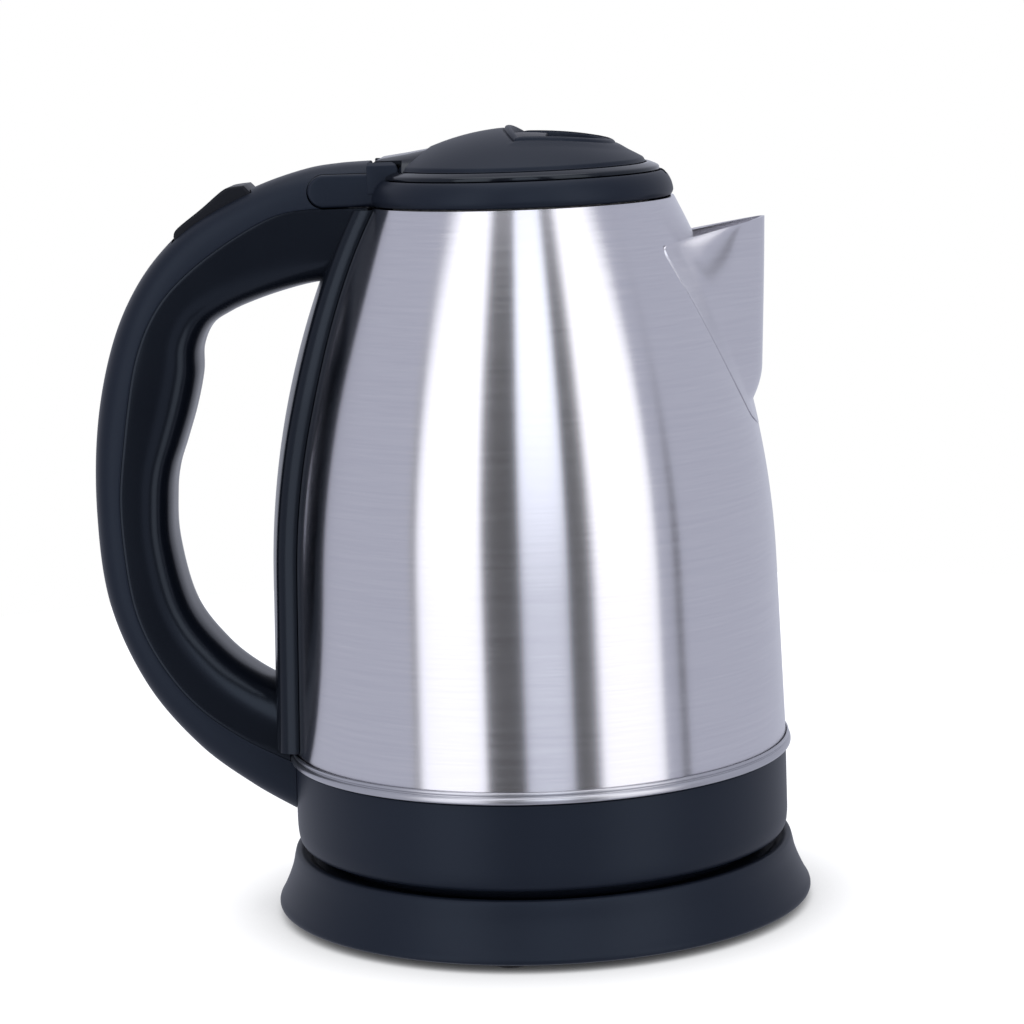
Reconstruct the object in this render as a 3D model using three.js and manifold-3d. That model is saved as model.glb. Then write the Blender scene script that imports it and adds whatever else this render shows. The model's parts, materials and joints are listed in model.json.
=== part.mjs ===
// Electric kettle: cordless steel jug on a round power base. Millimetres, +Z up.
// The origin is on the jug's axis at table level; +X points to the spout, -X to the handle.

import * as THREE from 'three';
import { mergeVertices } from 'three/addons/utils/BufferGeometryUtils.js';
import Module from 'manifold-3d';

const wasm = await Module();
wasm.setup();

// ---------------------------------------------------------------- driving dimensions

const GAP = 0.3; // clearance between touching pieces
const ROUND = 40; // facets of every large coaxial piece
const SMALL = 12; // facets of screws, pins and feet

const BODY = { bottom: 47.4, top: 210, radius: 73.65, taper: 0.0286, wall: 0.9 };
const SHOULDER = { start: 103, arc: 250 };
const SEAM = { bottom: 47.1, top: 50.6, radius: 75 };
const SKIRT = { bottom: 21.6, top: 46.6, radius: 73.5, wall: 2.2 };
const BASE = { rim: 19.4, deck: 17, radius: 80, underside: 2, hub: 0.8 };
const FOOT = { ring: 70, radius: 4.7, height: 1.7, first: -95.5 };
const SOCKET = { radius: 12.5, top: 29, grooveIn: 5.4, grooveOut: 8.6, pin: 2.2, floor: 14 };
const COVER = { bottom: 17.3, screwRing: 57, recess: 16 };
const COLLAR = { bottom: 210.4, top: 217.8, mouth: 41.1 };
const LID = { ring: 40.7, dome: 37.3, peak: 231.4, domeSphere: 71 };
const HINGE = { x: -38, z: 219.5, knuckle: 4.9, pin: 1.5, pinHalf: 12.2, bore: 1.8 };
const EAR = { radius: 2.9, inner: 9.6, outer: 12.6, foot: 214.2 };
const NECK = { front: -43.6, rear: -61, halfWidth: 13.6, saddle: 12, archRadius: 27.8, archTop: 223.1 };
const HANDLE = { halfWidth: 15, wall: 2.4, rows: 28, around: 12, square: 0.55 };
const COLUMN = { halfWidth: 21.5, neckHalf: 16, proud: 5, bottom: 51, top: 209.6 };
const SWITCH = { x: -96.5, z: 200, pin: 1.5, halfWidth: 9, front: 24 };
const SPOUT = { tip: 71.3, rimTip: 203.3, rimSeam: 197.5, foot: 142.6, wall: 0.9 };
const RECESS = { rear: -2, front: 26.5, halfWidth: 19.5, floor: 221.5, lip: 0.7, lipWidth: 2, hood: 0.9 };
const LATCH = { rear: -5, front: 8.3, halfWidth: 18, below: 1.7, travel: 4, stem: 4, tongue: 41.9 };
const CORD_GLAND = { z: 9.4, radius: 4.6, hole: 3.4 };

const degrees = (angle) => (angle * Math.PI) / 180;

// ---------------------------------------------------------------- materials

const finish = (color, roughness, metalness) =>
  new THREE.MeshStandardMaterial({ color, roughness, metalness });

const blackPlastic = finish(0x1c1e24, 0.45, 0);
const glossPlastic = finish(0x16181d, 0.2, 0);
const brushedSteel = finish(0xb4b3bb, 0.35, 1);
const plainSteel = finish(0xa0a1a6, 0.3, 1);
const aluminium = finish(0xb9bbbe, 0.5, 1);
const rubber = finish(0x202124, 0.9, 0);
const silicone = finish(0xd9d9d4, 0.7, 0);
const brass = finish(0xb8964b, 0.35, 1);
const whitePlastic = finish(0xe2e0d8, 0.6, 0);

// ---------------------------------------------------------------- shape helpers

/** A geometry with only its positions, shared vertices merged and collapsed triangles dropped. */
function welded(geometry) {
  const bare = geometry.clone();
  bare.deleteAttribute('normal');
  bare.deleteAttribute('uv');
  const merged = mergeVertices(bare, 1e-4);
  const index = Array.from(merged.index.array);
  const kept = [];
  for (let i = 0; i < index.length; i += 3) {
    const [a, b, c] = [index[i], index[i + 1], index[i + 2]];
    if (a !== b && b !== c && c !== a) kept.push(a, b, c);
  }
  merged.setIndex(kept);
  return merged;
}

function solid(geometry) {
  const mesh = welded(geometry);
  return new wasm.Manifold(
    new wasm.Mesh({
      numProp: 3,
      vertProperties: new Float32Array(mesh.attributes.position.array),
      triVerts: new Uint32Array(mesh.index.array),
    }),
  );
}

function geometryOf(manifold) {
  const { vertProperties, triVerts } = manifold.getMesh();
  const geometry = new THREE.BufferGeometry();
  geometry.setAttribute('position', new THREE.BufferAttribute(new Float32Array(vertProperties), 3));
  geometry.setIndex(new THREE.BufferAttribute(new Uint32Array(triVerts), 1));
  geometry.computeVertexNormals();
  return geometry;
}

/** Revolve a closed [radius, z] outline about the Z axis. The outline runs counter-clockwise. */
function revolve(outline, facets = ROUND) {
  const points = outline.map(([radius, z]) => new THREE.Vector2(radius, z));
  let area = 0;
  points.forEach((p, i) => {
    const q = points[(i + 1) % points.length];
    area += p.x * q.y - q.x * p.y;
  });
  if (area < 0) points.reverse();
  if (!points.every((p) => p.x > 0) && points[0].x > 0) {
    // start on the axis, so that no edge runs along it
    const first = points.findIndex((p, i) => p.x === 0 && points[(i + 1) % points.length].x > 0);
    points.push(...points.splice(0, first));
  }
  if (points.every((p) => p.x > 0)) points.push(points[0].clone());
  return solid(new THREE.LatheGeometry(points, facets).rotateX(Math.PI / 2));
}

/** Extrude a side outline of [x, z] points to |y| <= halfWidth, with its edges rounded. */
function sideExtrude(outline, halfWidth, round = 0) {
  const geometry = new THREE.ExtrudeGeometry(new THREE.Shape(toPoints(outline)), {
    depth: 2 * (halfWidth - round),
    bevelEnabled: round > 0,
    bevelThickness: round,
    bevelSize: round,
    bevelOffset: -round,
    bevelSegments: 3,
  });
  return solid(geometry.translate(0, 0, -(halfWidth - round)).rotateX(Math.PI / 2));
}

/** Extrude an outline of [y, z] points from x = start to x = end. */
function frontExtrude(outline, start, end) {
  const geometry = new THREE.ExtrudeGeometry(new THREE.Shape(toPoints(outline)), {
    depth: end - start,
    bevelEnabled: false,
  });
  geometry.applyMatrix4(new THREE.Matrix4().set(0, 0, 1, start, 1, 0, 0, 0, 0, 1, 0, 0, 0, 0, 0, 1));
  return solid(geometry);
}

/** Extrude an outline of [x, y] points from z = start to z = end. */
function planExtrude(outline, start, end) {
  const geometry = new THREE.ExtrudeGeometry(new THREE.Shape(toPoints(outline)), {
    depth: end - start,
    bevelEnabled: false,
  });
  return solid(geometry.translate(0, 0, start));
}

function toPoints(outline) {
  return outline.map(([u, v]) => new THREE.Vector2(u, v));
}

function cylinder(radius, start, end, facets = SMALL) {
  const length = end - start;
  const geometry = new THREE.CylinderGeometry(radius, radius, length, facets);
  return solid(geometry.rotateX(Math.PI / 2).translate(0, 0, start + length / 2));
}

/** A round rod along Y, centred on y = 0. */
function crossRod(radius, halfLength, x, z, facets = SMALL) {
  const geometry = new THREE.CylinderGeometry(radius, radius, 2 * halfLength, facets);
  return solid(geometry).translate([x, 0, z]);
}

function block(x0, x1, y0, y1, z0, z1) {
  const geometry = new THREE.BoxGeometry(x1 - x0, y1 - y0, z1 - z0);
  return solid(geometry.translate((x0 + x1) / 2, (y0 + y1) / 2, (z0 + z1) / 2));
}

/** Copies of a solid at a ring radius, one at each azimuth in degrees. */
function onRing(shape, ring, azimuths) {
  return azimuths.map((azimuth) =>
    shape.translate([ring * Math.cos(degrees(azimuth)), ring * Math.sin(degrees(azimuth)), 0]),
  );
}

function splinePoints(points, count) {
  return new THREE.SplineCurve(toPoints(points)).getPoints(count).map((p) => [p.x, p.y]);
}

/** Shift each point of an open outline sideways, to the left of its direction. */
function offsetOutline(points, distance) {
  return points.map((point, i) => {
    const before = points[Math.max(i - 1, 0)];
    const after = points[Math.min(i + 1, points.length - 1)];
    const along = new THREE.Vector2(after[0] - before[0], after[1] - before[1]).normalize();
    return [point[0] - along.y * distance, point[1] + along.x * distance];
  });
}

const kettle = new THREE.Group();

function addPiece(name, manifold, material) {
  const mesh = new THREE.Mesh(geometryOf(manifold), material);
  mesh.name = name;
  kettle.add(mesh);
}

// ---------------------------------------------------------------- power base

function buildPowerBase() {
  const { rim, deck, radius, underside } = BASE;
  const glandHole = solid(
    new THREE.CylinderGeometry(CORD_GLAND.radius + GAP, CORD_GLAND.radius + GAP, 26, SMALL),
  ).translate([0, 80, CORD_GLAND.z]);
  const shell = revolve([
    [SOCKET.radius + GAP, deck], [SOCKET.radius + GAP, deck - 2.4], [69, deck - 2.4], [71, deck - 4.5],
    [75.4, underside], [radius - 2.2, underside], [radius, 3.6], [79, 5.3], [77, 9.5], [75, 15.5],
    [74.6, 18.4], [73.6, rim], [71.4, rim], [69.4, deck],
  ]);
  addPiece('base_shell', shell.subtract(glandHole), blackPlastic);

  const screwAzimuths = [30, 150, 270];
  const counterbores = onRing(cylinder(3.7, -1, 3.1), 60, screwAzimuths);
  const plate = revolve([
    [0, BASE.hub], [22, BASE.hub], [24, underside], [74.2, underside],
    [73.4, underside + 2], [0, underside + 2],
  ]);
  const drilled = counterbores.reduce((rest, hole) => rest.subtract(hole), plate);
  addPiece('base_bottom_plate', drilled, blackPlastic);
  onRing(cylinder(3.4, underside + 0.1, underside + 0.8), 60, screwAzimuths).forEach((head, i) => {
    addPiece(`base_screw_${i + 1}`, head, plainSteel);
  });

  const footAzimuths = [0, 90, 180, 270].map((turn) => FOOT.first + turn);
  onRing(cylinder(FOOT.radius, 0, FOOT.height, 20), FOOT.ring, footAzimuths).forEach((foot, i) => {
    addPiece(`base_foot_${i + 1}`, foot, rubber);
  });

  const { top, grooveIn, grooveOut, pin, floor } = SOCKET;
  const socket = revolve([
    [0, 4.4], [20, 4.4], [20, 6.4], [SOCKET.radius, 6.4], [SOCKET.radius, top - 1],
    [SOCKET.radius - 1, top], [grooveOut, top], [grooveOut, floor], [grooveIn, floor],
    [grooveIn, top], [pin, top], [pin, floor], [0, floor],
  ], 24);
  addPiece('base_socket', socket, blackPlastic);

  const bush = new THREE.CylinderGeometry(CORD_GLAND.radius, CORD_GLAND.radius, 11.5, SMALL);
  const bore = new THREE.CylinderGeometry(CORD_GLAND.hole, CORD_GLAND.hole, 30, SMALL);
  const gland = solid(bush).subtract(solid(bore)).translate([0, 73.6, CORD_GLAND.z]);
  addPiece('cord_gland', gland, rubber);
}

// ---------------------------------------------------------------- jug: steel vessel and heater

/** Outer radius of the steel jug: a slow taper that turns into a round shoulder. */
function bodyRadius(z) {
  const rise = Math.max(0, z - SHOULDER.start);
  const sag = SHOULDER.arc - Math.sqrt(SHOULDER.arc ** 2 - rise ** 2);
  return BODY.radius - BODY.taper * (z - 47) - sag;
}

/** [radius, z] points up the jug's wall, offset outwards by a distance. */
function bodyWall(offset, bottom = BODY.bottom, top = BODY.top) {
  const heights = [bottom, 75, 103, 122, 141, 158, 174, 188, 200, top];
  return heights
    .filter((z) => z === bottom || z === top || (z > bottom + 2 && z < top - 2))
    .map((z) => [bodyRadius(z) + offset, z]);
}

/** The jug's outside grown by a distance, as a plug to cut with. */
function bodyPlug(offset) {
  return revolve([[0, 40], ...bodyWall(offset, 40, 212), [0, 212]]);
}

/** Half of the V-shaped weld line, from its top corner to its foot, as [y, z] points. */
const WELD_LINE = [[29.6, 195.6], [28.8, 185], [27, 176], [24.7, 166.6], [19.1, 154.3], [10, 144.6]];

function weldOutline() {
  const half = [[28.6, SPOUT.rimSeam], ...WELD_LINE];
  return [...half, [0, SPOUT.foot], ...half.map(([y, z]) => [-y, z]).reverse()];
}

/** Rim height above a given x: straight from the weld corner up to the tip. */
const rimHeight = (x) => SPOUT.rimSeam + ((x - 42) / (SPOUT.tip - 42)) * (SPOUT.rimTip - SPOUT.rimSeam);

/**
 * Level sections of the spout, each a rounded V from one weld to the nose and back.
 * A section is a cubic curve that leaves the weld at 36 degrees and meets the nose squarely.
 */
function spoutLoft(inset, bottom) {
  const levels = 9;
  const across = 8;
  const seam = new THREE.SplineCurve(toPoints([[10, 144.6], ...WELD_LINE.slice().reverse().slice(1)]));
  const rows = [];
  for (let i = 0; i <= levels; i++) {
    const z = bottom + ((210 - bottom) * i) / levels;
    const nearest = seam.getPoints(60).reduce((a, b) => (Math.abs(b.y - z) < Math.abs(a.y - z) ? b : a));
    const half = z > 195 ? 27.5 : Math.max(nearest.x - 3.5, 1);
    const root = Math.sqrt(Math.max(bodyRadius(Math.min(z, 210)) ** 2 - half ** 2, 0)) - 3;
    const low = Math.max(0, (166 - z) / 24);
    const nose = SPOUT.tip - 0.045 * (SPOUT.rimTip - z) - 1.6 * low ** 2 - inset;
    const curve = new THREE.CubicBezierCurve(
      new THREE.Vector2(root, half - inset),
      new THREE.Vector2(root + (nose - root) * 0.55, (half - inset) * 0.62),
      new THREE.Vector2(nose, (half - inset) * 0.36),
      new THREE.Vector2(nose, 0),
    );
    const side = curve.getPoints(across / 2);
    const row = side.map((p) => new THREE.Vector3(p.x, -p.y, z));
    side.slice(0, -1).reverse().forEach((p) => row.push(new THREE.Vector3(p.x, p.y, z)));
    rows.push(row);
  }
  return loftSolid(rows);
}

/** A closed solid through level rows of points, each row a closed loop, with flat ends. */
function loftSolid(rows) {
  const count = rows[0].length;
  const positions = rows.flatMap((row) => row.flatMap((p) => [p.x, p.y, p.z]));
  const index = [];
  for (let i = 0; i + 1 < rows.length; i++) {
    for (let j = 0; j < count; j++) {
      const a = i * count + j;
      const b = i * count + ((j + 1) % count);
      index.push(a, b, b + count, a, b + count, a + count);
    }
  }
  const top = (rows.length - 1) * count;
  for (let j = 1; j + 1 < count; j++) {
    index.push(0, j + 1, j);
    index.push(top, top + j, top + j + 1);
  }
  const geometry = new THREE.BufferGeometry();
  geometry.setAttribute('position', new THREE.Float32BufferAttribute(positions, 3));
  geometry.setIndex(index);
  return solid(geometry);
}

function buildVessel() {
  const mouth = frontExtrude([[19, 192], [-19, 192], [-16, 172], [-6, 156], [6, 156], [16, 172]], 20, 90);
  const shell = revolve([...bodyWall(0), ...bodyWall(-BODY.wall).reverse()]);
  addPiece('body_shell', shell.subtract(mouth), brushedSteel);

  const seamRing = revolve([
    [BODY.radius + GAP, SEAM.bottom], [SEAM.radius - 0.3, SEAM.bottom], [SEAM.radius, 47.6],
    [SEAM.radius - 0.1, 49.8],
    [SEAM.radius - 0.6, SEAM.top], [BODY.radius + GAP, SEAM.top],
  ]);
  addPiece('seam_ring', seamRing, plainSteel);

  const outerWall = bodyWall(SPOUT.wall + GAP, 130, 206);
  const flangeRing = revolve([...outerWall, ...bodyWall(GAP, 130, 206).reverse()]);
  const flange = flangeRing.intersect(frontExtrude(weldOutline(), 20, 90));
  const rimCut = sideExtrude([[0, rimHeight(0)], [90, rimHeight(90)], [90, 230], [0, 230]], 60);
  const hollow = spoutLoft(SPOUT.wall, 150).subtract(bodyPlug(-6));
  const horn = spoutLoft(0, 141).subtract(bodyPlug(GAP));
  addPiece('spout', flange.add(horn).subtract(hollow).subtract(rimCut), brushedSteel);

  const slots = [-15, -9, -3, 3, 9, 15].map((y) => block(36, 46, y - 2, y + 2, 170, 194));
  const filter = block(40, 41.6, -20, 20, 166, 198);
  addPiece('spout_filter', slots.reduce((rest, slot) => rest.subtract(slot), filter), plainSteel);
}

function buildHeater() {
  const plate = BODY.radius - BODY.wall - 0.4;
  addPiece('heater_plate', revolve([[0, 50.8], [plate, 50.8], [plate, 51.9], [0, 51.9]]), plainSteel);
  addPiece('heat_spreader', revolve([[0, 47.8], [52, 47.8], [52, 50.5], [0, 50.5]], 32), aluminium);

  const sweep = new THREE.EllipseCurve(0, 0, 42, 42, degrees(205), degrees(155 + 360)).getPoints(24);
  const path = new THREE.CatmullRomCurve3(sweep.map((p) => new THREE.Vector3(p.x, p.y, 44.1)));
  const section = new THREE.Shape().absarc(0, 0, 3.2, 0, 2 * Math.PI);
  const element = new THREE.ExtrudeGeometry(section, { steps: 24, extrudePath: path, curveSegments: 6 });
  addPiece('heating_element', solid(element), aluminium);

  const control = block(-22, 22, -17, 17, 34.4, 40.2).add(cylinder(13, 33.4, 40.2, 24));
  addPiece('thermal_control', control, whitePlastic);

  const { grooveIn, grooveOut, pin, floor, top } = SOCKET;
  const connector = revolve([
    [0, floor + 1], [pin - 0.6, floor + 1], [pin - 0.6, top + 1], [grooveIn + 0.5, top + 1],
    [grooveIn + 0.5, floor + 1], [grooveOut - 0.5, floor + 1], [grooveOut - 0.5, top + 1], [20, top + 1],
    [20, top + 4], [0, top + 4],
  ], 24);
  addPiece('kettle_connector', connector, brass);
}

// ---------------------------------------------------------------- jug: skirt and underside

function buildSkirt() {
  const { bottom, top, radius, wall } = SKIRT;
  const azimuths = [60, 180, 300];
  const bosses = onRing(cylinder(4, 24.6, top - 1), COVER.screwRing, azimuths);
  const pilotHoles = onRing(cylinder(1.9, 20, 36), COVER.screwRing, azimuths);
  const shell = revolve([
    [radius - wall, bottom + 0.4], [radius - 1.6, bottom], [radius - 0.8, bottom + 0.4],
    [radius - 0.2, 23.6],
    [radius, 26], [radius, top], [52.8, top], [52.8, top - 2.2], [radius - wall, top - 2.2],
  ]);
  const joined = bosses.reduce((rest, boss) => rest.add(boss), shell);
  const drilled = pilotHoles.reduce((rest, hole) => rest.subtract(hole), joined);
  addPiece('skirt', drilled.subtract(handleScrew(1, 1.6 + GAP)), blackPlastic);

  const inner = radius - wall - GAP;
  const under = COVER.bottom;
  const cover = revolve([
    [COVER.recess, under], [65, under], [66.4, under + 1.4], [66.4, 22], [inner, 22], [inner, 24.2],
    [50, 24.2], [48.6, under + 2], [COVER.recess + 2, under + 2], [COVER.recess + 2, 29.4],
    [COVER.recess, 29.4],
  ]);
  const bores = onRing(cylinder(3.6, 16, 21.5).add(cylinder(2, 16, 26)), COVER.screwRing, azimuths);
  addPiece('bottom_cover', bores.reduce((rest, bore) => rest.subtract(bore), cover), blackPlastic);
  const screw = cylinder(3.2, 19, 21.2).add(cylinder(1.6, 20, 34));
  onRing(screw, COVER.screwRing, azimuths).forEach((piece, i) => {
    addPiece(`cover_screw_${i + 1}`, piece, plainSteel);
  });
}

// ---------------------------------------------------------------- jug: handle

/** Back of the handle seen from the side, from the neck over the top and down to the skirt. */
const HANDLE_BACK = [
  [-62.6, 221.6], [-75.7, 217.9], [-101, 203.5], [-112.7, 190.3], [-121.5, 172.7], [-127.3, 149],
  [-129.3, 122], [-126.5, 94.4], [-116.6, 69.7], [-101.8, 50.8], [-74.4, 31.2],
];

/** Joint between the handle's two shells, from the neck down to the skirt. */
const HANDLE_JOINT = [
  [-61.3, 210.4], [-73.2, 207.7], [-90.8, 197.6], [-104.1, 186], [-111.8, 172.9], [-115.6, 159.6],
  [-119.1, 137.4], [-120.4, 120.8], [-117, 91.2], [-104.8, 68.8], [-74.4, 47.4],
];

/** Grip side of the finger opening, from its top corner down to its lower corner. */
const GRIP_FRONT = [
  [-62.1, 188.1], [-79.5, 183.3], [-89.8, 178.6], [-95, 172.6], [-96.2, 162], [-101.9, 142.2],
  [-105.5, 130.3], [-105.9, 112.1], [-101.7, 93.8], [-93, 81.3], [-78.6, 70],
];

const archTop = (y, top) => top - NECK.archRadius + Math.sqrt(NECK.archRadius ** 2 - y ** 2);

/** A [y, z] outline with a flat bottom and a crowned top. */
function archOutline(halfWidth, bottom, top) {
  const crown = [];
  for (let i = 0; i <= 10; i++) {
    const y = halfWidth * (1 - i / 5);
    crown.push([y, archTop(y, top)]);
  }
  return [[-halfWidth, bottom], [halfWidth, bottom], ...crown];
}

function hingeClearance() {
  return crossRod(HINGE.knuckle + 0.5, 30, HINGE.x, HINGE.z, 32);
}

/**
 * The handle as one loft from the neck down to the skirt. Each row is a rounded rectangle that
 * spans from the grip side to the back, brought in by an inset, and the end rows run on into the jug.
 */
function handleLoft(inset, firstRow, lastRow, runOn) {
  const back = offsetOutline(splinePoints(HANDLE_BACK, HANDLE.rows), inset);
  const front = offsetOutline(splinePoints(GRIP_FRONT, HANDLE.rows), -inset);
  const halfWidth = HANDLE.halfWidth - inset;
  const rows = [];
  for (let i = firstRow; i <= lastRow; i++) {
    const centre = [(back[i][0] + front[i][0]) / 2, (back[i][1] + front[i][1]) / 2];
    const reach = [(back[i][0] - front[i][0]) / 2, (back[i][1] - front[i][1]) / 2];
    const row = [];
    for (let j = 0; j < HANDLE.around; j++) {
      const angle = (2 * Math.PI * (j + 0.5)) / HANDLE.around;
      const out = Math.sign(Math.cos(angle)) * Math.abs(Math.cos(angle)) ** HANDLE.square;
      const side = Math.sign(Math.sin(angle)) * Math.abs(Math.sin(angle)) ** HANDLE.square;
      row.push(new THREE.Vector3(centre[0] + reach[0] * out, halfWidth * side, centre[1] + reach[1] * out));
    }
    rows.push(row);
  }
  const shifted = (row, x) => row.map((p) => new THREE.Vector3(p.x + x, p.y, p.z));
  return loftSolid([shifted(rows[0], runOn), ...rows, shifted(rows[rows.length - 1], runOn)]);
}

/** The screw that ties the handle's foot to the skirt, or with wider radii the room it needs. */
function handleScrew(headRadius, shankRadius) {
  const head = new THREE.CylinderGeometry(headRadius, headRadius, 2.4, SMALL).translate(0, 69.6, 0);
  const shank = new THREE.CylinderGeometry(shankRadius, shankRadius, 12, SMALL).translate(0, 75, 0);
  return solid(head).add(solid(shank)).rotate([0, 0, 90]).translate([0, 0, 39.5]);
}

function buildHandle() {
  const joint = splinePoints(HANDLE_JOINT, 26);
  const { halfWidth, wall, rows } = HANDLE;
  const loft = handleLoft(0, 0, rows, 18);
  const hollow = handleLoft(wall, 2, rows - 3, 0.1);
  const skirtPlug = revolve([[0, 10], [SKIRT.radius + GAP, 10], [SKIRT.radius + GAP, 46.9],
    [SEAM.radius + GAP, 46.9], [SEAM.radius + GAP, 50.9], [0, 50.9]]);
  const jugPlug = bodyPlug(GAP).add(skirtPlug);

  const outside = sideExtrude([...joint, [-60, 47.4], [-60, 0], [-200, 0], [-200, 300],
    [NECK.front, 300], [NECK.front, 220.2], [NECK.rear - 0.3, 220.2]], 40);
  const saddle = frontExtrude(archOutline(NECK.saddle, 220.2, NECK.archTop), -66, NECK.front);
  const pocketFront = [65, 50, 35, 20, 5].map((angle) => switchArc(SWITCH.front + 0.4, angle));
  const pocketSide = [[-102, 225], [-86, 225], ...pocketFront, [-102, 199]];
  const pocket = sideExtrude(pocketSide, SWITCH.halfWidth + 0.4);
  const pinHole = crossRod(SWITCH.pin + GAP, 13.6, SWITCH.x, SWITCH.z);
  const outer = loft.intersect(outside).add(saddle).subtract(hollow).subtract(jugPlug)
    .subtract(pocket).subtract(pinHole).subtract(hingeClearance()).subtract(handleScrew(3, 1.6 + GAP));
  addPiece('handle_outer', outer, blackPlastic);

  const inside = sideExtrude([...offsetOutline(joint, GAP).slice(1), [-60, 47.8], [-30, 47.8],
    [-30, COLLAR.bottom - GAP], [-61.3, COLLAR.bottom - GAP]], 40);
  const strapRing = revolve([
    ...bodyWall(COLUMN.proud, COLUMN.bottom, COLUMN.top),
    ...bodyWall(GAP, COLUMN.bottom, COLUMN.top).reverse(),
  ]);
  const { halfWidth: broad, neckHalf } = COLUMN;
  const strapOutline = frontExtrude([
    [-broad, 40], [broad, 40], [broad, 172], [neckHalf, 206], [neckHalf, 212],
    [-neckHalf, 212], [-neckHalf, 206], [-broad, 172],
  ], -90, -20);
  const shellSide = [...offsetOutline(joint, GAP), [-40, 47.8], [-40, 0], [-200, 0], [-200, 210]];
  const besideShell = sideExtrude(shellSide, halfWidth + GAP);
  const strap = strapRing.intersect(strapOutline).subtract(besideShell);
  const inner = loft.intersect(inside).add(strap).subtract(hollow).subtract(jugPlug);
  addPiece('handle_inner', inner, blackPlastic);

  const thermostat = block(-95, -77, -9, 9, 189, 194.5).add(cylinder(7, 194, 196.5).translate([-86, 0, 0]));
  addPiece('steam_thermostat', thermostat, whitePlastic);

  addPiece('handle_screw', handleScrew(3, 1.6), plainSteel);
}

/** A point at a radius and angle about the switch pin, seen from the side. */
const switchArc = (radius, angle) => [
  SWITCH.x + radius * Math.cos(degrees(angle)),
  SWITCH.z + radius * Math.sin(degrees(angle)),
];

function buildSwitch() {
  const { x, z, front, halfWidth, pin } = SWITCH;
  const face = [46, 38, 30, 22].map((angle) => switchArc(front, angle));
  const lever = sideExtrude([
    [-101.4, 203.2], [-99.5, 198], [-97.5, 196], [-94, 197], [-84, 204.5], ...face.reverse(),
    [-82.6, 218.4], [-88.7, 213.6], [-100.4, 205.8],
  ], halfWidth, 0.6);
  addPiece('power_switch', lever.subtract(crossRod(pin + GAP, 20, x, z)), glossPlastic);
  addPiece('switch_pin', crossRod(pin, 13.2, x, z), plainSteel);
}

// ---------------------------------------------------------------- jug: collar and hinge pin

function buildCollar() {
  const { bottom, top, mouth } = COLLAR;
  const ring = revolve([
    [38.6, bottom], [44.1, bottom], [44.8, 211.9], [44.5, 213.1], [44.2, 214.2], [43.7, 215.4],
    [42.9, 216.6],
    [41.9, top], [mouth, top], [mouth, 212.4], [38.6, 212.4],
  ]);
  const endArc = [90, 126, 162, 198, 234, 270].map((angle) => [
    NECK.rear + 4.8 + 4.8 * Math.cos(degrees(angle)), 215.05 + 4.8 * Math.sin(degrees(angle)),
  ]);
  const neck = sideExtrude([...endArc, [-36, bottom], [-36, 219.85]], NECK.halfWidth)
    .subtract(revolve([[0, 200], [mouth, 200], [mouth, 230], [0, 230]]));
  const keeper = block(40, 42.9, -4.5, 4.5, 212.6, 220);
  const hingeSlot = block(-46.5, -30, -9.4, 9.4, 212.6, 230);
  const { x, z, bore, pin, pinHalf } = HINGE;
  const collar = ring.add(neck).subtract(keeper).subtract(hingeSlot).subtract(hingeClearance());
  const ears = block(x - 2.2, x + 3.4, -EAR.outer, EAR.outer, EAR.foot, z)
    .add(crossRod(EAR.radius, EAR.outer, x, z, 20))
    .subtract(block(x - 9, x + 9, -EAR.inner, EAR.inner, 205, 230));
  addPiece('lid_collar', collar.add(ears).subtract(crossRod(bore, 13, x, z)), blackPlastic);
  addPiece('lid_hinge_pin', crossRod(pin, pinHalf, x, z), plainSteel);
}

// ---------------------------------------------------------------- lid

const domeHeight = (radius) => LID.peak - LID.domeSphere + Math.sqrt(LID.domeSphere ** 2 - radius ** 2);

/** The solid under the lid's dome, with the dome raised by a distance. */
function underDome(raised) {
  const crown = [36.5, 33, 28, 22, 15, 8, 0].map((radius) => [radius, domeHeight(radius) + raised]);
  return revolve([[0, 219], [LID.dome - GAP - 0.6, 219], [LID.dome - GAP, 220.2], ...crown]);
}

/** Plan of the finger recess, grown by a distance: half an ellipse in front, a shallow arc behind. */
function recessPlan(grow) {
  const halfWidth = RECESS.halfWidth + grow;
  const rear = RECESS.rear - grow;
  const bow = 4;
  const reach = RECESS.front + grow - rear - bow;
  const nose = [];
  for (let i = 0; i <= 12; i++) {
    const angle = degrees(15 * i - 90);
    nose.push([rear + bow + reach * Math.cos(angle), halfWidth * Math.sin(angle)]);
  }
  return [...nose, [rear + bow / 4, halfWidth / 2], [rear, 0], [rear + bow / 4, -halfWidth / 2]];
}

/** Plan of the hinge tongue: a round nose on the lid and a straight tail over the pin. */
function tonguePlan(grow) {
  const nose = [];
  for (let i = 0; i <= 8; i++) {
    const y = 18 * (1 - i / 4);
    nose.push([-33 + 7 * (1 - (y / 18) ** 2) + grow, y * (1 + grow / 18)]);
  }
  return [...nose, [-36.6, -18 - grow], [-43.8, -13.4 - grow], [-43.8, 13.4 + grow], [-36.6, 18 + grow]];
}

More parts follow.
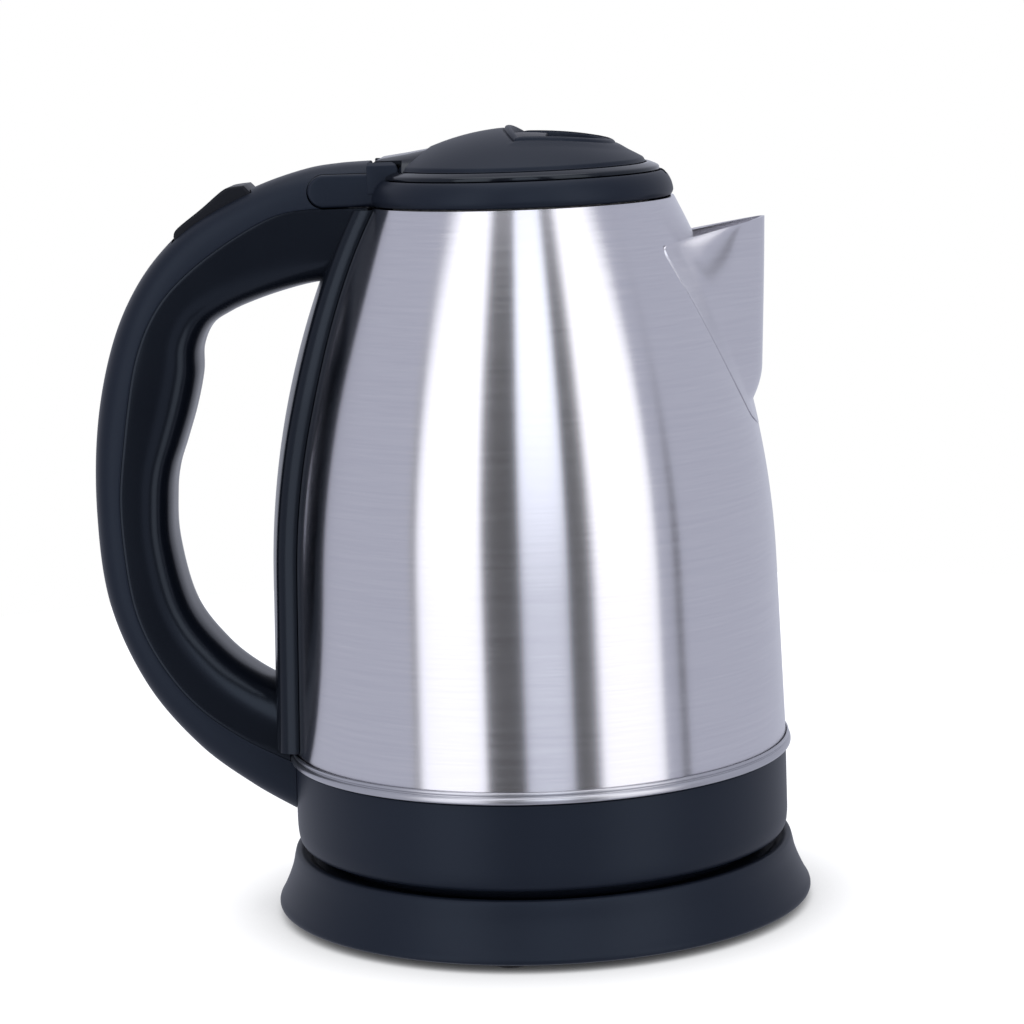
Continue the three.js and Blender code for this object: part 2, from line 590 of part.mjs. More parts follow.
function buildLid() {
  const { rear, front, halfWidth, travel, stem } = LATCH;
  const lip = underDome(RECESS.lip).intersect(planExtrude(recessPlan(RECESS.lipWidth), 220, 240));
  const recess = planExtrude(recessPlan(0), RECESS.floor, 240);
  const room = travel + 0.4;
  const pocket = block(rear - room, 4, -halfWidth - 0.4, halfWidth + 0.4, 225.2, 240)
    .intersect(underDome(-RECESS.hood));
  const latchSlot = block(rear - room, 27, -stem - 1.4, stem + 1.4, 216.2, 225.4)
    .add(block(20, 50, -stem - 1.4, stem + 1.4, 216.2, 219.8))
    .subtract(block(front, 60, -40, 40, RECESS.floor, 240));
  const dome = underDome(0).add(lip).subtract(planExtrude(tonguePlan(GAP), 210, 240))
    .subtract(recess).subtract(pocket).subtract(latchSlot);
  addPiece('lid_dome', dome, blackPlastic);

  const ring = revolve([
    [LID.dome - 3, 214], [39.6, 214], [39.6, 218], [LID.ring, 218.3], [LID.ring - 0.3, 219], [38.6, 220],
    [LID.dome, 220.2], [LID.dome, 218.6], [LID.dome - 3, 218.6],
  ]);
  const tongueOutline = [[-24, 214], [-24, 226.3], [-33, 224.6], [-43.8, 223.2], [-43.8, 214]];
  const tongueSide = sideExtrude(tongueOutline, 30);
  const { x, z, knuckle, bore } = HINGE;
  const tongueFront = frontExtrude(archOutline(18.4, 212, 226.4), -50, -20);
  const tail = crossRod(knuckle, 40, x, z, 32);
  const behind = block(-50, x, -40, 40, 200, 240);
  const tongue = planExtrude(tonguePlan(0), 214, 230).intersect(tongueSide).intersect(tongueFront);
  const roundTail = tongue.subtract(behind).add(tongue.intersect(tail));
  const overEars = block(-45, -30, -30, 30, z + 2.8, 240)
    .subtract(crossRod(EAR.radius + 0.4, 30, x, z, 20));
  const betweenEars = block(-45, -30, 0.5 - EAR.inner, EAR.inner - 0.5, 205, 240);
  const bearing = overEars.add(betweenEars).add(block(-33.6, -20, -30, 30, 205, 240));
  const hingeTongue = roundTail.intersect(bearing).subtract(crossRod(bore, 20, x, z));
  const frontSlot = block(30, 50, -4.4, 4.4, 213.6, 217.4);
  const openRing = ring.subtract(block(-60, -33, -40, 40, 200, 230));
  addPiece('lid_rim', openRing.add(hingeTongue).subtract(frontSlot), glossPlastic);

  const liner = revolve([
    [0, 206], [35, 206], [36.4, 207.4], [36.4, 213.7], [34, 213.7], [34, 208], [0, 208],
  ]);
  addPiece('lid_liner', liner, plainSteel);
  addPiece('lid_seal', revolve([[36.7, 208.6], [38.2, 209.4], [38.2, 211.8], [36.7, 212.2]]), silicone);
  onRing(cylinder(2.6, 209.2, 211).add(cylinder(1.3, 210, 218.6)), 24, [110, 250]).forEach((screw, i) => {
    addPiece(`lid_screw_${i + 1}`, screw, plainSteel);
  });
}

function buildLatch() {
  const { rear, front, halfWidth, below, stem, tongue } = LATCH;
  const plate = sideExtrude([
    [rear, 225.8], [front - 1.6, 225.8], [front - 1.6, 223.6], [front, 223.6], [front, 240], [rear, 240],
  ], halfWidth).intersect(underDome(-below));
  const arm = sideExtrude([
    [-3.2, 216.6], [tongue, 213.9], [tongue, 216.4], [4.4, 219], [4.4, 227], [-1, 227], [-1, 219.4],
    [-3.2, 219.4],
  ], stem);
  addPiece('lid_latch', plate.add(arm), glossPlastic);
  const coil = new THREE.CylinderGeometry(1.1, 1.1, 4.9, SMALL).rotateZ(Math.PI / 2);
  addPiece('latch_spring', solid(coil.translate(-6.2, 0, 217.9)), plainSteel);
}

buildPowerBase();
buildVessel();
buildHeater();
buildSkirt();
buildHandle();
buildSwitch();
buildCollar();
buildLid();
buildLatch();

export default kettle;
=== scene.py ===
import json
import math

import bmesh
import bpy
import numpy as np
from mathutils import Matrix, Vector


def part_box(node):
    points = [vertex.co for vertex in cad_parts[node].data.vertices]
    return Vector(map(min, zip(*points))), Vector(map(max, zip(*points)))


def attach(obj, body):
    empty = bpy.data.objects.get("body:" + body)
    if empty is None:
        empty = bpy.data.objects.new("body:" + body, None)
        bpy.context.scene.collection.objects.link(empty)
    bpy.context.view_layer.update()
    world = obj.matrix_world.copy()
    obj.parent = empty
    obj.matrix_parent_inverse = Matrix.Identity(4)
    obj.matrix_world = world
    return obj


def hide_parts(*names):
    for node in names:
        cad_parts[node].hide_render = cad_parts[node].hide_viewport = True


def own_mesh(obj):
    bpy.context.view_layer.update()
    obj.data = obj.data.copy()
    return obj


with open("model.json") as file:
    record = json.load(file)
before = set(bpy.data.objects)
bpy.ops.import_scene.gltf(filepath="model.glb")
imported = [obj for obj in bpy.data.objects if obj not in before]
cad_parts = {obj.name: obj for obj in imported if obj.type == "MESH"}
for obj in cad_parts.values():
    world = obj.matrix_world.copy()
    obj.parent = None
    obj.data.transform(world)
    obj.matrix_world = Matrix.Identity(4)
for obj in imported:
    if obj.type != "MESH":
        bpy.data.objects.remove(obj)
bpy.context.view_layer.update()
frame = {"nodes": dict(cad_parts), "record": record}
scene = bpy.context.scene

# ---------------------------------------------------------------- camera
# A long lens looks slightly down at the jug from nearly square on to the plane of handle and spout,
# with the small tilt of a hand-levelled tripod.

CAMERA_PLACE = (0.0505, -0.9627, 0.2705)
CAMERA_PAN = 3.35
CAMERA_PITCH = 8.998
CAMERA_ROLL = -2.132

camera_data = bpy.data.cameras.new("camera")
camera_data.sensor_width = 36.0
camera_data.lens = 115.6
camera_data.clip_start = 0.02
camera = bpy.data.objects.new("camera", camera_data)
scene.collection.objects.link(camera)
camera.matrix_world = (
    Matrix.Translation(CAMERA_PLACE)
    @ Matrix.Rotation(math.radians(CAMERA_PAN), 4, "Z")
    @ Matrix.Rotation(math.radians(90 - CAMERA_PITCH), 4, "X")
    @ Matrix.Rotation(math.radians(CAMERA_ROLL), 4, "Z")
)
scene.camera = camera
scene.view_settings.view_transform = "Standard"

# ---------------------------------------------------------------- studio
# A white sweep under the kettle, a pale surround, and three tall soft boxes on the camera's side,
# two of them dimmer below, with black flags between. They draw the bright and dark bands on the steel.

CAMERA_SIDE = -87.0
STRIP_TOP, STRIP_BREAK, STRIP_FOOT = 2.4, 0.35, -0.8
LAMP_DISTANCE, FLAG_DISTANCE = 1.7, 1.5
FLOOR_RADIUS, SHADOW_REACH = 0.55, 0.035
WARM, COOL = (1.0, 0.99, 0.95), (0.90, 0.95, 1.0)


def studio_surround():
    """A pale, slightly cool world; straight to the lens it is white."""
    world = bpy.data.worlds.new("surround")
    world.use_nodes = True
    nodes, link = world.node_tree.nodes, world.node_tree.links.new
    rays = nodes.new("ShaderNodeLightPath")
    shade = nodes.new("ShaderNodeMix")
    shade.data_type = "RGBA"
    shade.inputs["A"].default_value = (0.60, 0.62, 0.72, 1)
    shade.inputs["B"].default_value = (1, 1, 1, 1)
    link(rays.outputs["Is Camera Ray"], shade.inputs["Factor"])
    link(shade.outputs["Result"], nodes["Background"].inputs["Color"])
    scene.world = world


def on_circle(azimuth, distance, height):
    """Place at an azimuth in degrees round the jug's axis, a distance off and a height up, in metres."""
    turn = math.radians(azimuth)
    return Vector((distance * math.cos(turn), distance * math.sin(turn), height))


def width_of(spread, distance):
    """Width of a card that spans an angle in degrees as seen from the jug's axis."""
    return 2 * distance * math.tan(math.radians(spread / 2))


def soft_box(name, first, last, foot, brightness, colour=(1, 1, 1), top=STRIP_TOP):
    """A tall lamp that spans two azimuths from the camera's side; its power is radiance x pi x area."""
    width, height = width_of(last - first, LAMP_DISTANCE), top - foot
    lamp_data = bpy.data.lights.new(name, "AREA")
    lamp_data.shape = "RECTANGLE"
    lamp_data.size, lamp_data.size_y = width, height
    lamp_data.energy = brightness * math.pi * width * height
    lamp_data.color = colour
    lamp = bpy.data.objects.new(name, lamp_data)
    scene.collection.objects.link(lamp)
    lamp.location = on_circle(CAMERA_SIDE + (first + last) / 2, LAMP_DISTANCE, (top + foot) / 2)
    aim = Vector((-lamp.location.x, -lamp.location.y, 0))
    lamp.rotation_euler = aim.to_track_quat("-Z", "Y").to_euler()


def staged_card(name, corners, colour, glow):
    """A flat staged card of one shade that glows with a given strength."""
    mesh = bpy.data.meshes.new(name)
    mesh.from_pydata(corners, [], [tuple(range(len(corners)))])
    card = bpy.data.objects.new(name, mesh)
    scene.collection.objects.link(card)
    material = bpy.data.materials.new(name)
    material.use_nodes = True
    shader = material.node_tree.nodes["Principled BSDF"]
    shader.inputs["Base Color"].default_value = (*colour, 1)
    shader.inputs["Roughness"].default_value = 0.6
    shader.inputs["Specular IOR Level"].default_value = 0.1
    shader.inputs["Emission Color"].default_value = (1, 1, 1, 1)
    shader.inputs["Emission Strength"].default_value = glow
    mesh.materials.append(material)
    return card


def flag(name, first, last, glow, top=STRIP_TOP + 0.3):
    """An upright black card, nearer than the lamps, that only reflections see."""
    left = on_circle(CAMERA_SIDE + first, FLAG_DISTANCE, 0)
    right = on_circle(CAMERA_SIDE + last, FLAG_DISTANCE, 0)
    low, high = Vector((0, 0, -1.3)), Vector((0, 0, top))
    corners = [tuple(left + low), tuple(right + low), tuple(right + high), tuple(left + high)]
    card = staged_card(name, corners, (0, 0, 0), glow)
    card.visible_camera = False
    card.visible_diffuse = False
    card.visible_shadow = False


studio_surround()
floor_rim = [tuple(on_circle(azimuth, FLOOR_RADIUS, 0)) for azimuth in range(0, 360, 5)]
floor = staged_card("floor", floor_rim, (0.25, 0.25, 0.25), 0.92)
floor.visible_glossy = False
floor.visible_shadow = False
# Painted shadow: the floor's glow is darkened by ambient occlusion close to the kettle, as a painted contact
# shadow round its base.
floor_tree = floor.data.materials[0].node_tree
painted_contact_shadow = floor_tree.nodes.new("ShaderNodeAmbientOcclusion")
painted_contact_shadow.inputs["Distance"].default_value = SHADOW_REACH
floor_tree.links.new(painted_contact_shadow.outputs["Color"], floor_tree.nodes["Principled BSDF"].inputs["Emission Color"])
soft_box("box_left", -55, -24, STRIP_BREAK, 1.45)
soft_box("box_left_low", -55, -24, STRIP_FOOT, 1.12, top=STRIP_BREAK)
soft_box("box_middle", -6, 15, 0.2, 1.45, COOL)
soft_box("box_right", 26, 58, STRIP_BREAK, 1.45, WARM)
soft_box("box_right_low", 28, 58, STRIP_FOOT, 1.12, WARM, STRIP_BREAK)
flag("flag_left", -58.5, -55.3, 0.4)
flag("flag_middle", -24, -6.2, 0.1)
flag("flag_right", 15.2, 26, 0.1)
flag("flag_far", 66.8, 70.5, 0.08, 0.35)
overhead_data = bpy.data.lights.new("overhead", "AREA")
overhead_data.size = 2.0
overhead_data.energy = 1.2 * math.pi * 4
overhead = bpy.data.objects.new("overhead", overhead_data)
scene.collection.objects.link(overhead)
overhead.location = (0, 0, 2.2)

# ---------------------------------------------------------------- power base shell
# The round base the jug stands on: one black moulding with a flared wall, a shallow deck and a
# raised rim. Satin moulded plastic, closed from below by a screwed plate.

MM = 0.001
AROUND = 192


def made_solid(name, points, faces, outwards=True):
    """A smooth mesh through points in millimetres, its doubles merged and, if closed, turned outwards."""
    mesh = bpy.data.meshes.new(name)
    mesh.from_pydata((np.asarray(points, float) * MM).tolist(), [], faces)
    cleaned = bmesh.new()
    cleaned.from_mesh(mesh)
    bmesh.ops.remove_doubles(cleaned, verts=cleaned.verts, dist=2e-6)
    bmesh.ops.dissolve_degenerate(cleaned, edges=cleaned.edges, dist=1e-7)
    if outwards:
        bmesh.ops.holes_fill(cleaned, edges=[e for e in cleaned.edges if e.is_boundary])
        bmesh.ops.recalc_face_normals(cleaned, faces=cleaned.faces)
    cleaned.to_mesh(mesh)
    cleaned.free()
    mesh.polygons.foreach_set("use_smooth", np.ones(len(mesh.polygons), dtype=bool))
    piece = bpy.data.objects.new(name, mesh)
    scene.collection.objects.link(piece)
    return piece


def surface_mesh(name, points, wrap_rows=False, wrap_columns=False, sheet=False):
    """A mesh through a grid of points [rows, columns, 3], closed round either way; ends are capped.

    A sheet is left open, with its faces turned the way that rows cross columns.
    """
    rows, columns = points.shape[:2]
    row, column = np.meshgrid(
        np.arange(rows if wrap_rows else rows - 1),
        np.arange(columns if wrap_columns else columns - 1),
        indexing="ij",
    )
    next_row, next_column = (row + 1) % rows, (column + 1) % columns
    faces = np.stack(
        [row * columns + column, next_row * columns + column,
         next_row * columns + next_column, row * columns + next_column], axis=-1,
    ).reshape(-1, 4)
    return made_solid(name, points.reshape(-1, 3), faces.tolist(), outwards=not sheet)


def eased(outline, ease=0.4, steps=4):
    """The closed outline [x, y] with every corner replaced by a quadratic curve.

    The curve leaves each edge `ease` before the corner, or less where an edge is short. A third
    value in a point sets its own ease.
    """
    corners = np.array([point[:2] for point in outline], float)
    eases = np.array([point[2] if len(point) > 2 else ease for point in outline], float)
    before = np.roll(corners, 1, axis=0) - corners
    after = np.roll(corners, -1, axis=0) - corners
    length_before = np.linalg.norm(before, axis=1, keepdims=True)
    length_after = np.linalg.norm(after, axis=1, keepdims=True)
    reach_before = np.minimum(eases[:, None], 0.45 * length_before)
    reach_after = np.minimum(eases[:, None], 0.45 * length_after)
    start = corners + before / length_before * reach_before
    end = corners + after / length_after * reach_after
    t = np.linspace(0, 1, steps)[None, :, None]
    curve = (1 - t) ** 2 * start[:, None] + 2 * t * (1 - t) * corners[:, None] + t**2 * end[:, None]
    return curve.reshape(-1, 2)


def turned(name, outline, ease=0.4, around=AROUND):
    """A closed [radius, z] outline, eased at its corners and revolved about the Z axis."""
    profile = eased(outline, ease) if ease else np.array([point[:2] for point in outline], float)
    profile[:, 0] = np.maximum(profile[:, 0], 0)
    turn = np.arange(around)[:, None] * 2 * np.pi / around
    points = np.stack(
        [profile[None, :, 0] * np.cos(turn), profile[None, :, 0] * np.sin(turn),
         np.broadcast_to(profile[None, :, 1], (around, len(profile)))], axis=-1,
    )
    return surface_mesh(name, points, wrap_rows=True, wrap_columns=True)


def new_group(name, inputs, outputs):
    """A shader node group with named sockets; returns the group and its input and output nodes."""
    group = bpy.data.node_groups.new(name, "ShaderNodeTree")
    for label, kind, value in inputs:
        socket = group.interface.new_socket(label, in_out="INPUT", socket_type=kind)
        if value is not None:
            socket.default_value = value
    for label, kind in outputs:
        group.interface.new_socket(label, in_out="OUTPUT", socket_type=kind)
    return group, group.nodes.new("NodeGroupInput"), group.nodes.new("NodeGroupOutput")


def moulded_group():
    """Moulded skin: a fine even grain, broad uneven gloss, and faint dust in the open.

    Grain is noise at `Grain Scale`; the gloss value wanders by a slow noise; height is the grain.
    """
    group, inside, outside = new_group(
        "moulded_skin",
        [("Grain Scale", "NodeSocketFloat", 2600.0), ("Roughness", "NodeSocketFloat", 0.4),
         ("Roughness Spread", "NodeSocketFloat", 0.06),
         ("Colour", "NodeSocketColor", (0.01, 0.01, 0.012, 1)),
         ("Worn Colour", "NodeSocketColor", (0.02, 0.02, 0.024, 1))],
        [("Colour", "NodeSocketColor"), ("Roughness", "NodeSocketFloat"), ("Height", "NodeSocketFloat")],
    )
    nodes, link = group.nodes, group.links.new
    place = nodes.new("ShaderNodeTexCoord")
    grain = nodes.new("ShaderNodeTexNoise")
    grain.inputs["Detail"].default_value = 2.0
    link(place.outputs["Object"], grain.inputs["Vector"])
    link(inside.outputs["Grain Scale"], grain.inputs["Scale"])
    slow = nodes.new("ShaderNodeTexNoise")
    slow.inputs["Scale"].default_value = 34.0
    slow.inputs["Detail"].default_value = 4.0
    link(place.outputs["Object"], slow.inputs["Vector"])
    centred = nodes.new("ShaderNodeMath")
    centred.operation = "SUBTRACT"
    centred.inputs[1].default_value = 0.5
    link(slow.outputs["Fac"], centred.inputs[0])
    spread = nodes.new("ShaderNodeMath")
    spread.operation = "MULTIPLY_ADD"
    link(centred.outputs[0], spread.inputs[0])
    link(inside.outputs["Roughness Spread"], spread.inputs[1])
    link(inside.outputs["Roughness"], spread.inputs[2])
    mix = nodes.new("ShaderNodeMix")
    mix.data_type = "RGBA"
    link(slow.outputs["Fac"], mix.inputs["Factor"])
    link(inside.outputs["Colour"], mix.inputs["A"])
    link(inside.outputs["Worn Colour"], mix.inputs["B"])
    link(mix.outputs["Result"], outside.inputs["Colour"])
    link(spread.outputs[0], outside.inputs["Roughness"])
    link(grain.outputs["Fac"], outside.inputs["Height"])
    return group


MOULDED = moulded_group()


def moulded(name, colour, worn, roughness, grain_scale=2600.0, grain_depth=0.00002, gloss=0.5,
            tint=(1, 1, 1)):
    """Moulded plastic or rubber: the moulded skin feeding a Principled shader through a bump."""
    material = bpy.data.materials.new(name)
    material.use_nodes = True
    nodes, link = material.node_tree.nodes, material.node_tree.links.new
    shader = nodes["Principled BSDF"]
    skin = nodes.new("ShaderNodeGroup")
    skin.node_tree = MOULDED
    skin.inputs["Grain Scale"].default_value = grain_scale
    skin.inputs["Roughness"].default_value = roughness
    skin.inputs["Colour"].default_value = (*colour, 1)
    skin.inputs["Worn Colour"].default_value = (*worn, 1)
    bump = nodes.new("ShaderNodeBump")
    bump.inputs["Strength"].default_value = 0.35
    bump.inputs["Distance"].default_value = grain_depth
    link(skin.outputs["Height"], bump.inputs["Height"])
    link(skin.outputs["Colour"], shader.inputs["Base Color"])
    link(skin.outputs["Roughness"], shader.inputs["Roughness"])
    link(bump.outputs["Normal"], shader.inputs["Normal"])
    shader.inputs["Specular IOR Level"].default_value = gloss
    shader.inputs["Specular Tint"].default_value = (*tint, 1)
    return material


satin_black = moulded("satin_black_plastic", (0.004, 0.0058, 0.011), (0.006, 0.008, 0.014), 0.42,
                      gloss=0.24, tint=(0.68, 0.8, 1.0))
gloss_black = moulded("gloss_black_plastic", (0.004, 0.0048, 0.008), (0.006, 0.007, 0.01), 0.14,
                      900.0, 0.000005, 0.3, (0.8, 0.9, 1.0))


def finish(piece, material, body, stands_for):
    """Give a piece its material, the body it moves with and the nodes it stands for."""
    piece.data.materials.clear()
    piece.data.materials.append(material)
    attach(piece, body)
    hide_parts(*stands_for)
    return piece


def applied(piece):
    """Apply the piece's modifiers, so that the mesh is its finished shape."""
    graph = bpy.context.evaluated_depsgraph_get()
    done = bpy.data.meshes.new_from_object(piece.evaluated_get(graph))
    piece.modifiers.clear()
    piece.data = done
    return piece


def cut_with(piece, cutter, operation="DIFFERENCE"):
    """Cut a piece with another mesh, which is used up, or join the two."""
    boolean = piece.modifiers.new("cut", "BOOLEAN")
    boolean.operation = operation
    boolean.solver = "EXACT"
    boolean.object = cutter
    applied(piece)
    bpy.data.objects.remove(cutter)
    return piece


def shaded(piece, angle=40.0):
    """Smooth shading that keeps edges sharper than an angle in degrees."""
    piece.data.polygons.foreach_set("use_smooth", np.ones(len(piece.data.polygons), dtype=bool))
    piece.data.set_sharp_from_angle(angle=math.radians(angle))
    return piece


def arc(centre_u, centre_v, radius, first, last, steps):
    """Points round part of a circle, from one angle in degrees to another."""
    turn = np.radians(np.linspace(first, last, steps))
    return np.column_stack([centre_u + radius * np.cos(turn), centre_v + radius * np.sin(turn)])


def prism(name, outline, low, high, along):
    """A closed outline swept straight along X ([y, z] points), Y ([x, z]) or Z ([x, y])."""
    outline = np.array(outline, float)
    order = {"X": (2, 0, 1), "Y": (0, 2, 1), "Z": (0, 1, 2)}[along]
    rings = [np.column_stack([outline, np.full(len(outline), level)])[:, order] for level in (low, high)]
    count = len(outline)
    side = np.arange(count)
    following = (side + 1) % count
    faces = np.stack([side, following, following + count, side + count], axis=-1).tolist()
    faces += [list(range(count))[::-1], list(range(count, 2 * count))]
    piece = made_solid(name, np.concatenate(rings), faces)
    piece.data.polygons.foreach_set("use_smooth", np.zeros(len(piece.data.polygons), dtype=bool))
    return piece


base = turned("power_base_shell", [
    (12.8, 17), (12.8, 14.6), (69, 14.6), (71, 12.5), (75.4, 2), (77.6, 1.9, 0.8), (79.8, 2.5, 0.8),
    (80, 3.8, 1.0), (78.9, 5.5, 1.2), (77.1, 9.3, 2.6), (75.5, 13.5, 2.6), (74.8, 17.2, 1.6),
    (74.2, 19.2, 0.8), (72.4, 19.4, 0.8), (70.6, 18.2, 0.8), (69.4, 17, 0.8),
])
cut_with(base, prism("cord_hole", arc(0, 9.4, 4.7, 0, 360, 49)[:-1], 66, 84, "Y"))
shaded(base)
finish(base, satin_black, "power_base", ["base_shell"])

# ---------------------------------------------------------------- power base underside and feet
# A flat plate with a raised hub and wells for its three screws, four rubber feet, the socket that
# stands up through the deck, and the rubber boot in the cord's hole.

plate = turned("power_base_plate", [
    (0, 0.8), (22, 0.8), (24, 2), (60, 2), (74.2, 2), (73.4, 4), (0, 4),
])
for azimuth in (30, 150, 270):
    well = prism("well", arc(*on_circle(azimuth, 60, 0)[:2], 3.7, 0, 360, 33)[:-1], -1, 3.1, "Z")
    cut_with(plate, well)
shaded(plate)
finish(plate, satin_black, "power_base", ["base_bottom_plate"])

rubber_black = moulded("black_rubber", (0.012, 0.012, 0.013), (0.02, 0.02, 0.021), 0.78, 1400.0, 0.00004, 0.3)
for number in (1, 2, 3, 4):
    low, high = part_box(f"base_foot_{number}")
    centre = (np.array(low) + np.array(high)) / 2 / MM
    foot = turned(f"rubber_foot_{number}", [(0, 0), (4.3, 0), (4.7, 0.5), (4.7, 1.7), (0, 1.7)], 0.3, 64)
    foot.data.transform(Matrix.Translation((centre[0] * MM, centre[1] * MM, 0)))
    finish(foot, rubber_black, "power_base", [f"base_foot_{number}"])

socket = turned("ring_socket", [
    (0, 4.4), (20, 4.4), (20, 6.4), (12.5, 6.4), (12.5, 28, 1.0), (11.5, 29), (8.6, 29), (8.6, 14), (5.4, 14),
    (5.4, 29), (2.2, 29), (2.2, 14), (0, 14),
], 0.5, 96)
finish(socket, satin_black, "power_base", ["base_socket"])

gland = turned("cord_gland_boot", [
    (3.4, 67.9), (4.6, 67.9), (4.6, 76.2), (4.6, 77.4, 0.8), (4.3, 79.3, 0.8), (3.4, 79.3, 0.4),
], 0.3, 96)
gland.data.transform(Matrix.Translation((0, 0, 9.4 * MM)) @ Matrix.Rotation(math.radians(-90), 4, "X"))
finish(gland, rubber_black, "power_base", ["cord_gland"])

# ---------------------------------------------------------------- skirt and underside cover
# The black moulding under the steel jug that hides the heater. Its foot is rounded and stands a
# little clear of the base's rim; the underside cover, held by three screws, drops into the base.

skirt = turned("skirt_shell", [
    (71.3, 22.2), (71.6, 21.6), (72.2, 21.6, 0.5), (73.1, 22.9, 1.0), (73.5, 26, 1.6), (73.5, 46.3, 0.5),
    (73.2, 46.6), (52.8, 46.6), (52.8, 44.4), (71.3, 44.4),
])
finish(skirt, satin_black, "jug", ["skirt"])

cover = turned("underside_cover", [
    (16, 17.3), (65, 17.3, 1), (66.4, 18.7, 1), (66.4, 22), (71, 22), (71, 24.2), (50, 24.2), (48.6, 19.3),
    (18, 19.3), (18, 29.4), (16, 29.4),
])
for azimuth in (60, 180, 300):
    place = on_circle(azimuth, 57, 0)[:2]
    cut_with(cover, prism("well", arc(*place, 3.6, 0, 360, 33)[:-1], 16, 21.5, "Z"))
    cut_with(cover, prism("well", arc(*place, 2.0, 0, 360, 33)[:-1], 16, 26, "Z"))
shaded(cover)
finish(cover, satin_black, "jug", ["bottom_cover"])

# ---------------------------------------------------------------- steel jug
# A drawn and brushed stainless steel vessel with a slow taper and a round shoulder. The brush
# lines run round it, and the bead at its foot is a rolled steel ring.


def brushed_group():
    """Brushed steel skin: long fine lines that run round the Z axis.

    Noise is read at (angle x Round Scale, 0, height x Line Scale), so a line is long round the jug
    and thin in height. Two sizes of line are added; a slow noise dulls patches.
    """
    group, inside, outside = new_group(
        "brushed_skin",
        [("Line Scale", "NodeSocketFloat", 5200.0), ("Round Scale", "NodeSocketFloat", 4.5),
         ("Colour", "NodeSocketColor", (0.62, 0.61, 0.65, 1)),
         ("Line Colour", "NodeSocketColor", (0.5, 0.49, 0.53, 1)),
         ("Roughness", "NodeSocketFloat", 0.27), ("Roughness Spread", "NodeSocketFloat", 0.05)],
        [("Colour", "NodeSocketColor"), ("Roughness", "NodeSocketFloat"), ("Height", "NodeSocketFloat")],
    )
    nodes, link = group.nodes, group.links.new
    place = nodes.new("ShaderNodeTexCoord")
    split = nodes.new("ShaderNodeSeparateXYZ")
    link(place.outputs["Object"], split.inputs[0])
    angle = nodes.new("ShaderNodeMath")
    angle.operation = "ARCTAN2"
    link(split.outputs["Y"], angle.inputs[0])
    link(split.outputs["X"], angle.inputs[1])
    around = nodes.new("ShaderNodeMath")
    around.operation = "MULTIPLY"
    link(angle.outputs[0], around.inputs[0])
    link(inside.outputs["Round Scale"], around.inputs[1])
    up = nodes.new("ShaderNodeMath")
    up.operation = "MULTIPLY"
    link(split.outputs["Z"], up.inputs[0])
    link(inside.outputs["Line Scale"], up.inputs[1])
    fine_place = nodes.new("ShaderNodeCombineXYZ")
    link(around.outputs[0], fine_place.inputs["X"])
    link(up.outputs[0], fine_place.inputs["Z"])
    fine = nodes.new("ShaderNodeTexNoise")
    fine.inputs["Scale"].default_value = 1.0
    fine.inputs["Detail"].default_value = 3.0
    fine.inputs["Roughness"].default_value = 0.65
    link(fine_place.outputs[0], fine.inputs["Vector"])
    broad_place = nodes.new("ShaderNodeVectorMath")
    broad_place.operation = "MULTIPLY"
    broad_place.inputs[1].default_value = (0.35, 1.0, 0.16)
    link(fine_place.outputs[0], broad_place.inputs[0])
    broad = nodes.new("ShaderNodeTexNoise")
    broad.inputs["Scale"].default_value = 1.0
    broad.inputs["Detail"].default_value = 2.0
    link(broad_place.outputs[0], broad.inputs["Vector"])
    both = nodes.new("ShaderNodeMath")
    both.operation = "MULTIPLY_ADD"
    both.inputs[1].default_value = 0.45
    link(broad.outputs["Fac"], both.inputs[0])
    halved = nodes.new("ShaderNodeMath")
    halved.operation = "MULTIPLY"
    halved.inputs[1].default_value = 0.55
    link(fine.outputs["Fac"], halved.inputs[0])
    link(halved.outputs[0], both.inputs[2])
    contrast = nodes.new("ShaderNodeMapRange")
    contrast.inputs["From Min"].default_value = 0.30
    contrast.inputs["From Max"].default_value = 0.72
    link(both.outputs[0], contrast.inputs["Value"])
    mix = nodes.new("ShaderNodeMix")
    mix.data_type = "RGBA"
    link(contrast.outputs["Result"], mix.inputs["Factor"])
    link(inside.outputs["Line Colour"], mix.inputs["A"])
    link(inside.outputs["Colour"], mix.inputs["B"])
    centred = nodes.new("ShaderNodeMath")
    centred.operation = "SUBTRACT"
    centred.inputs[1].default_value = 0.5
    link(contrast.outputs["Result"], centred.inputs[0])
    spread = nodes.new("ShaderNodeMath")
    spread.operation = "MULTIPLY_ADD"
    link(centred.outputs[0], spread.inputs[0])
    link(inside.outputs["Roughness Spread"], spread.inputs[1])
    link(inside.outputs["Roughness"], spread.inputs[2])
    link(mix.outputs["Result"], outside.inputs["Colour"])
    link(spread.outputs[0], outside.inputs["Roughness"])
    link(contrast.outputs["Result"], outside.inputs["Height"])
    return group


BRUSHED = brushed_group()


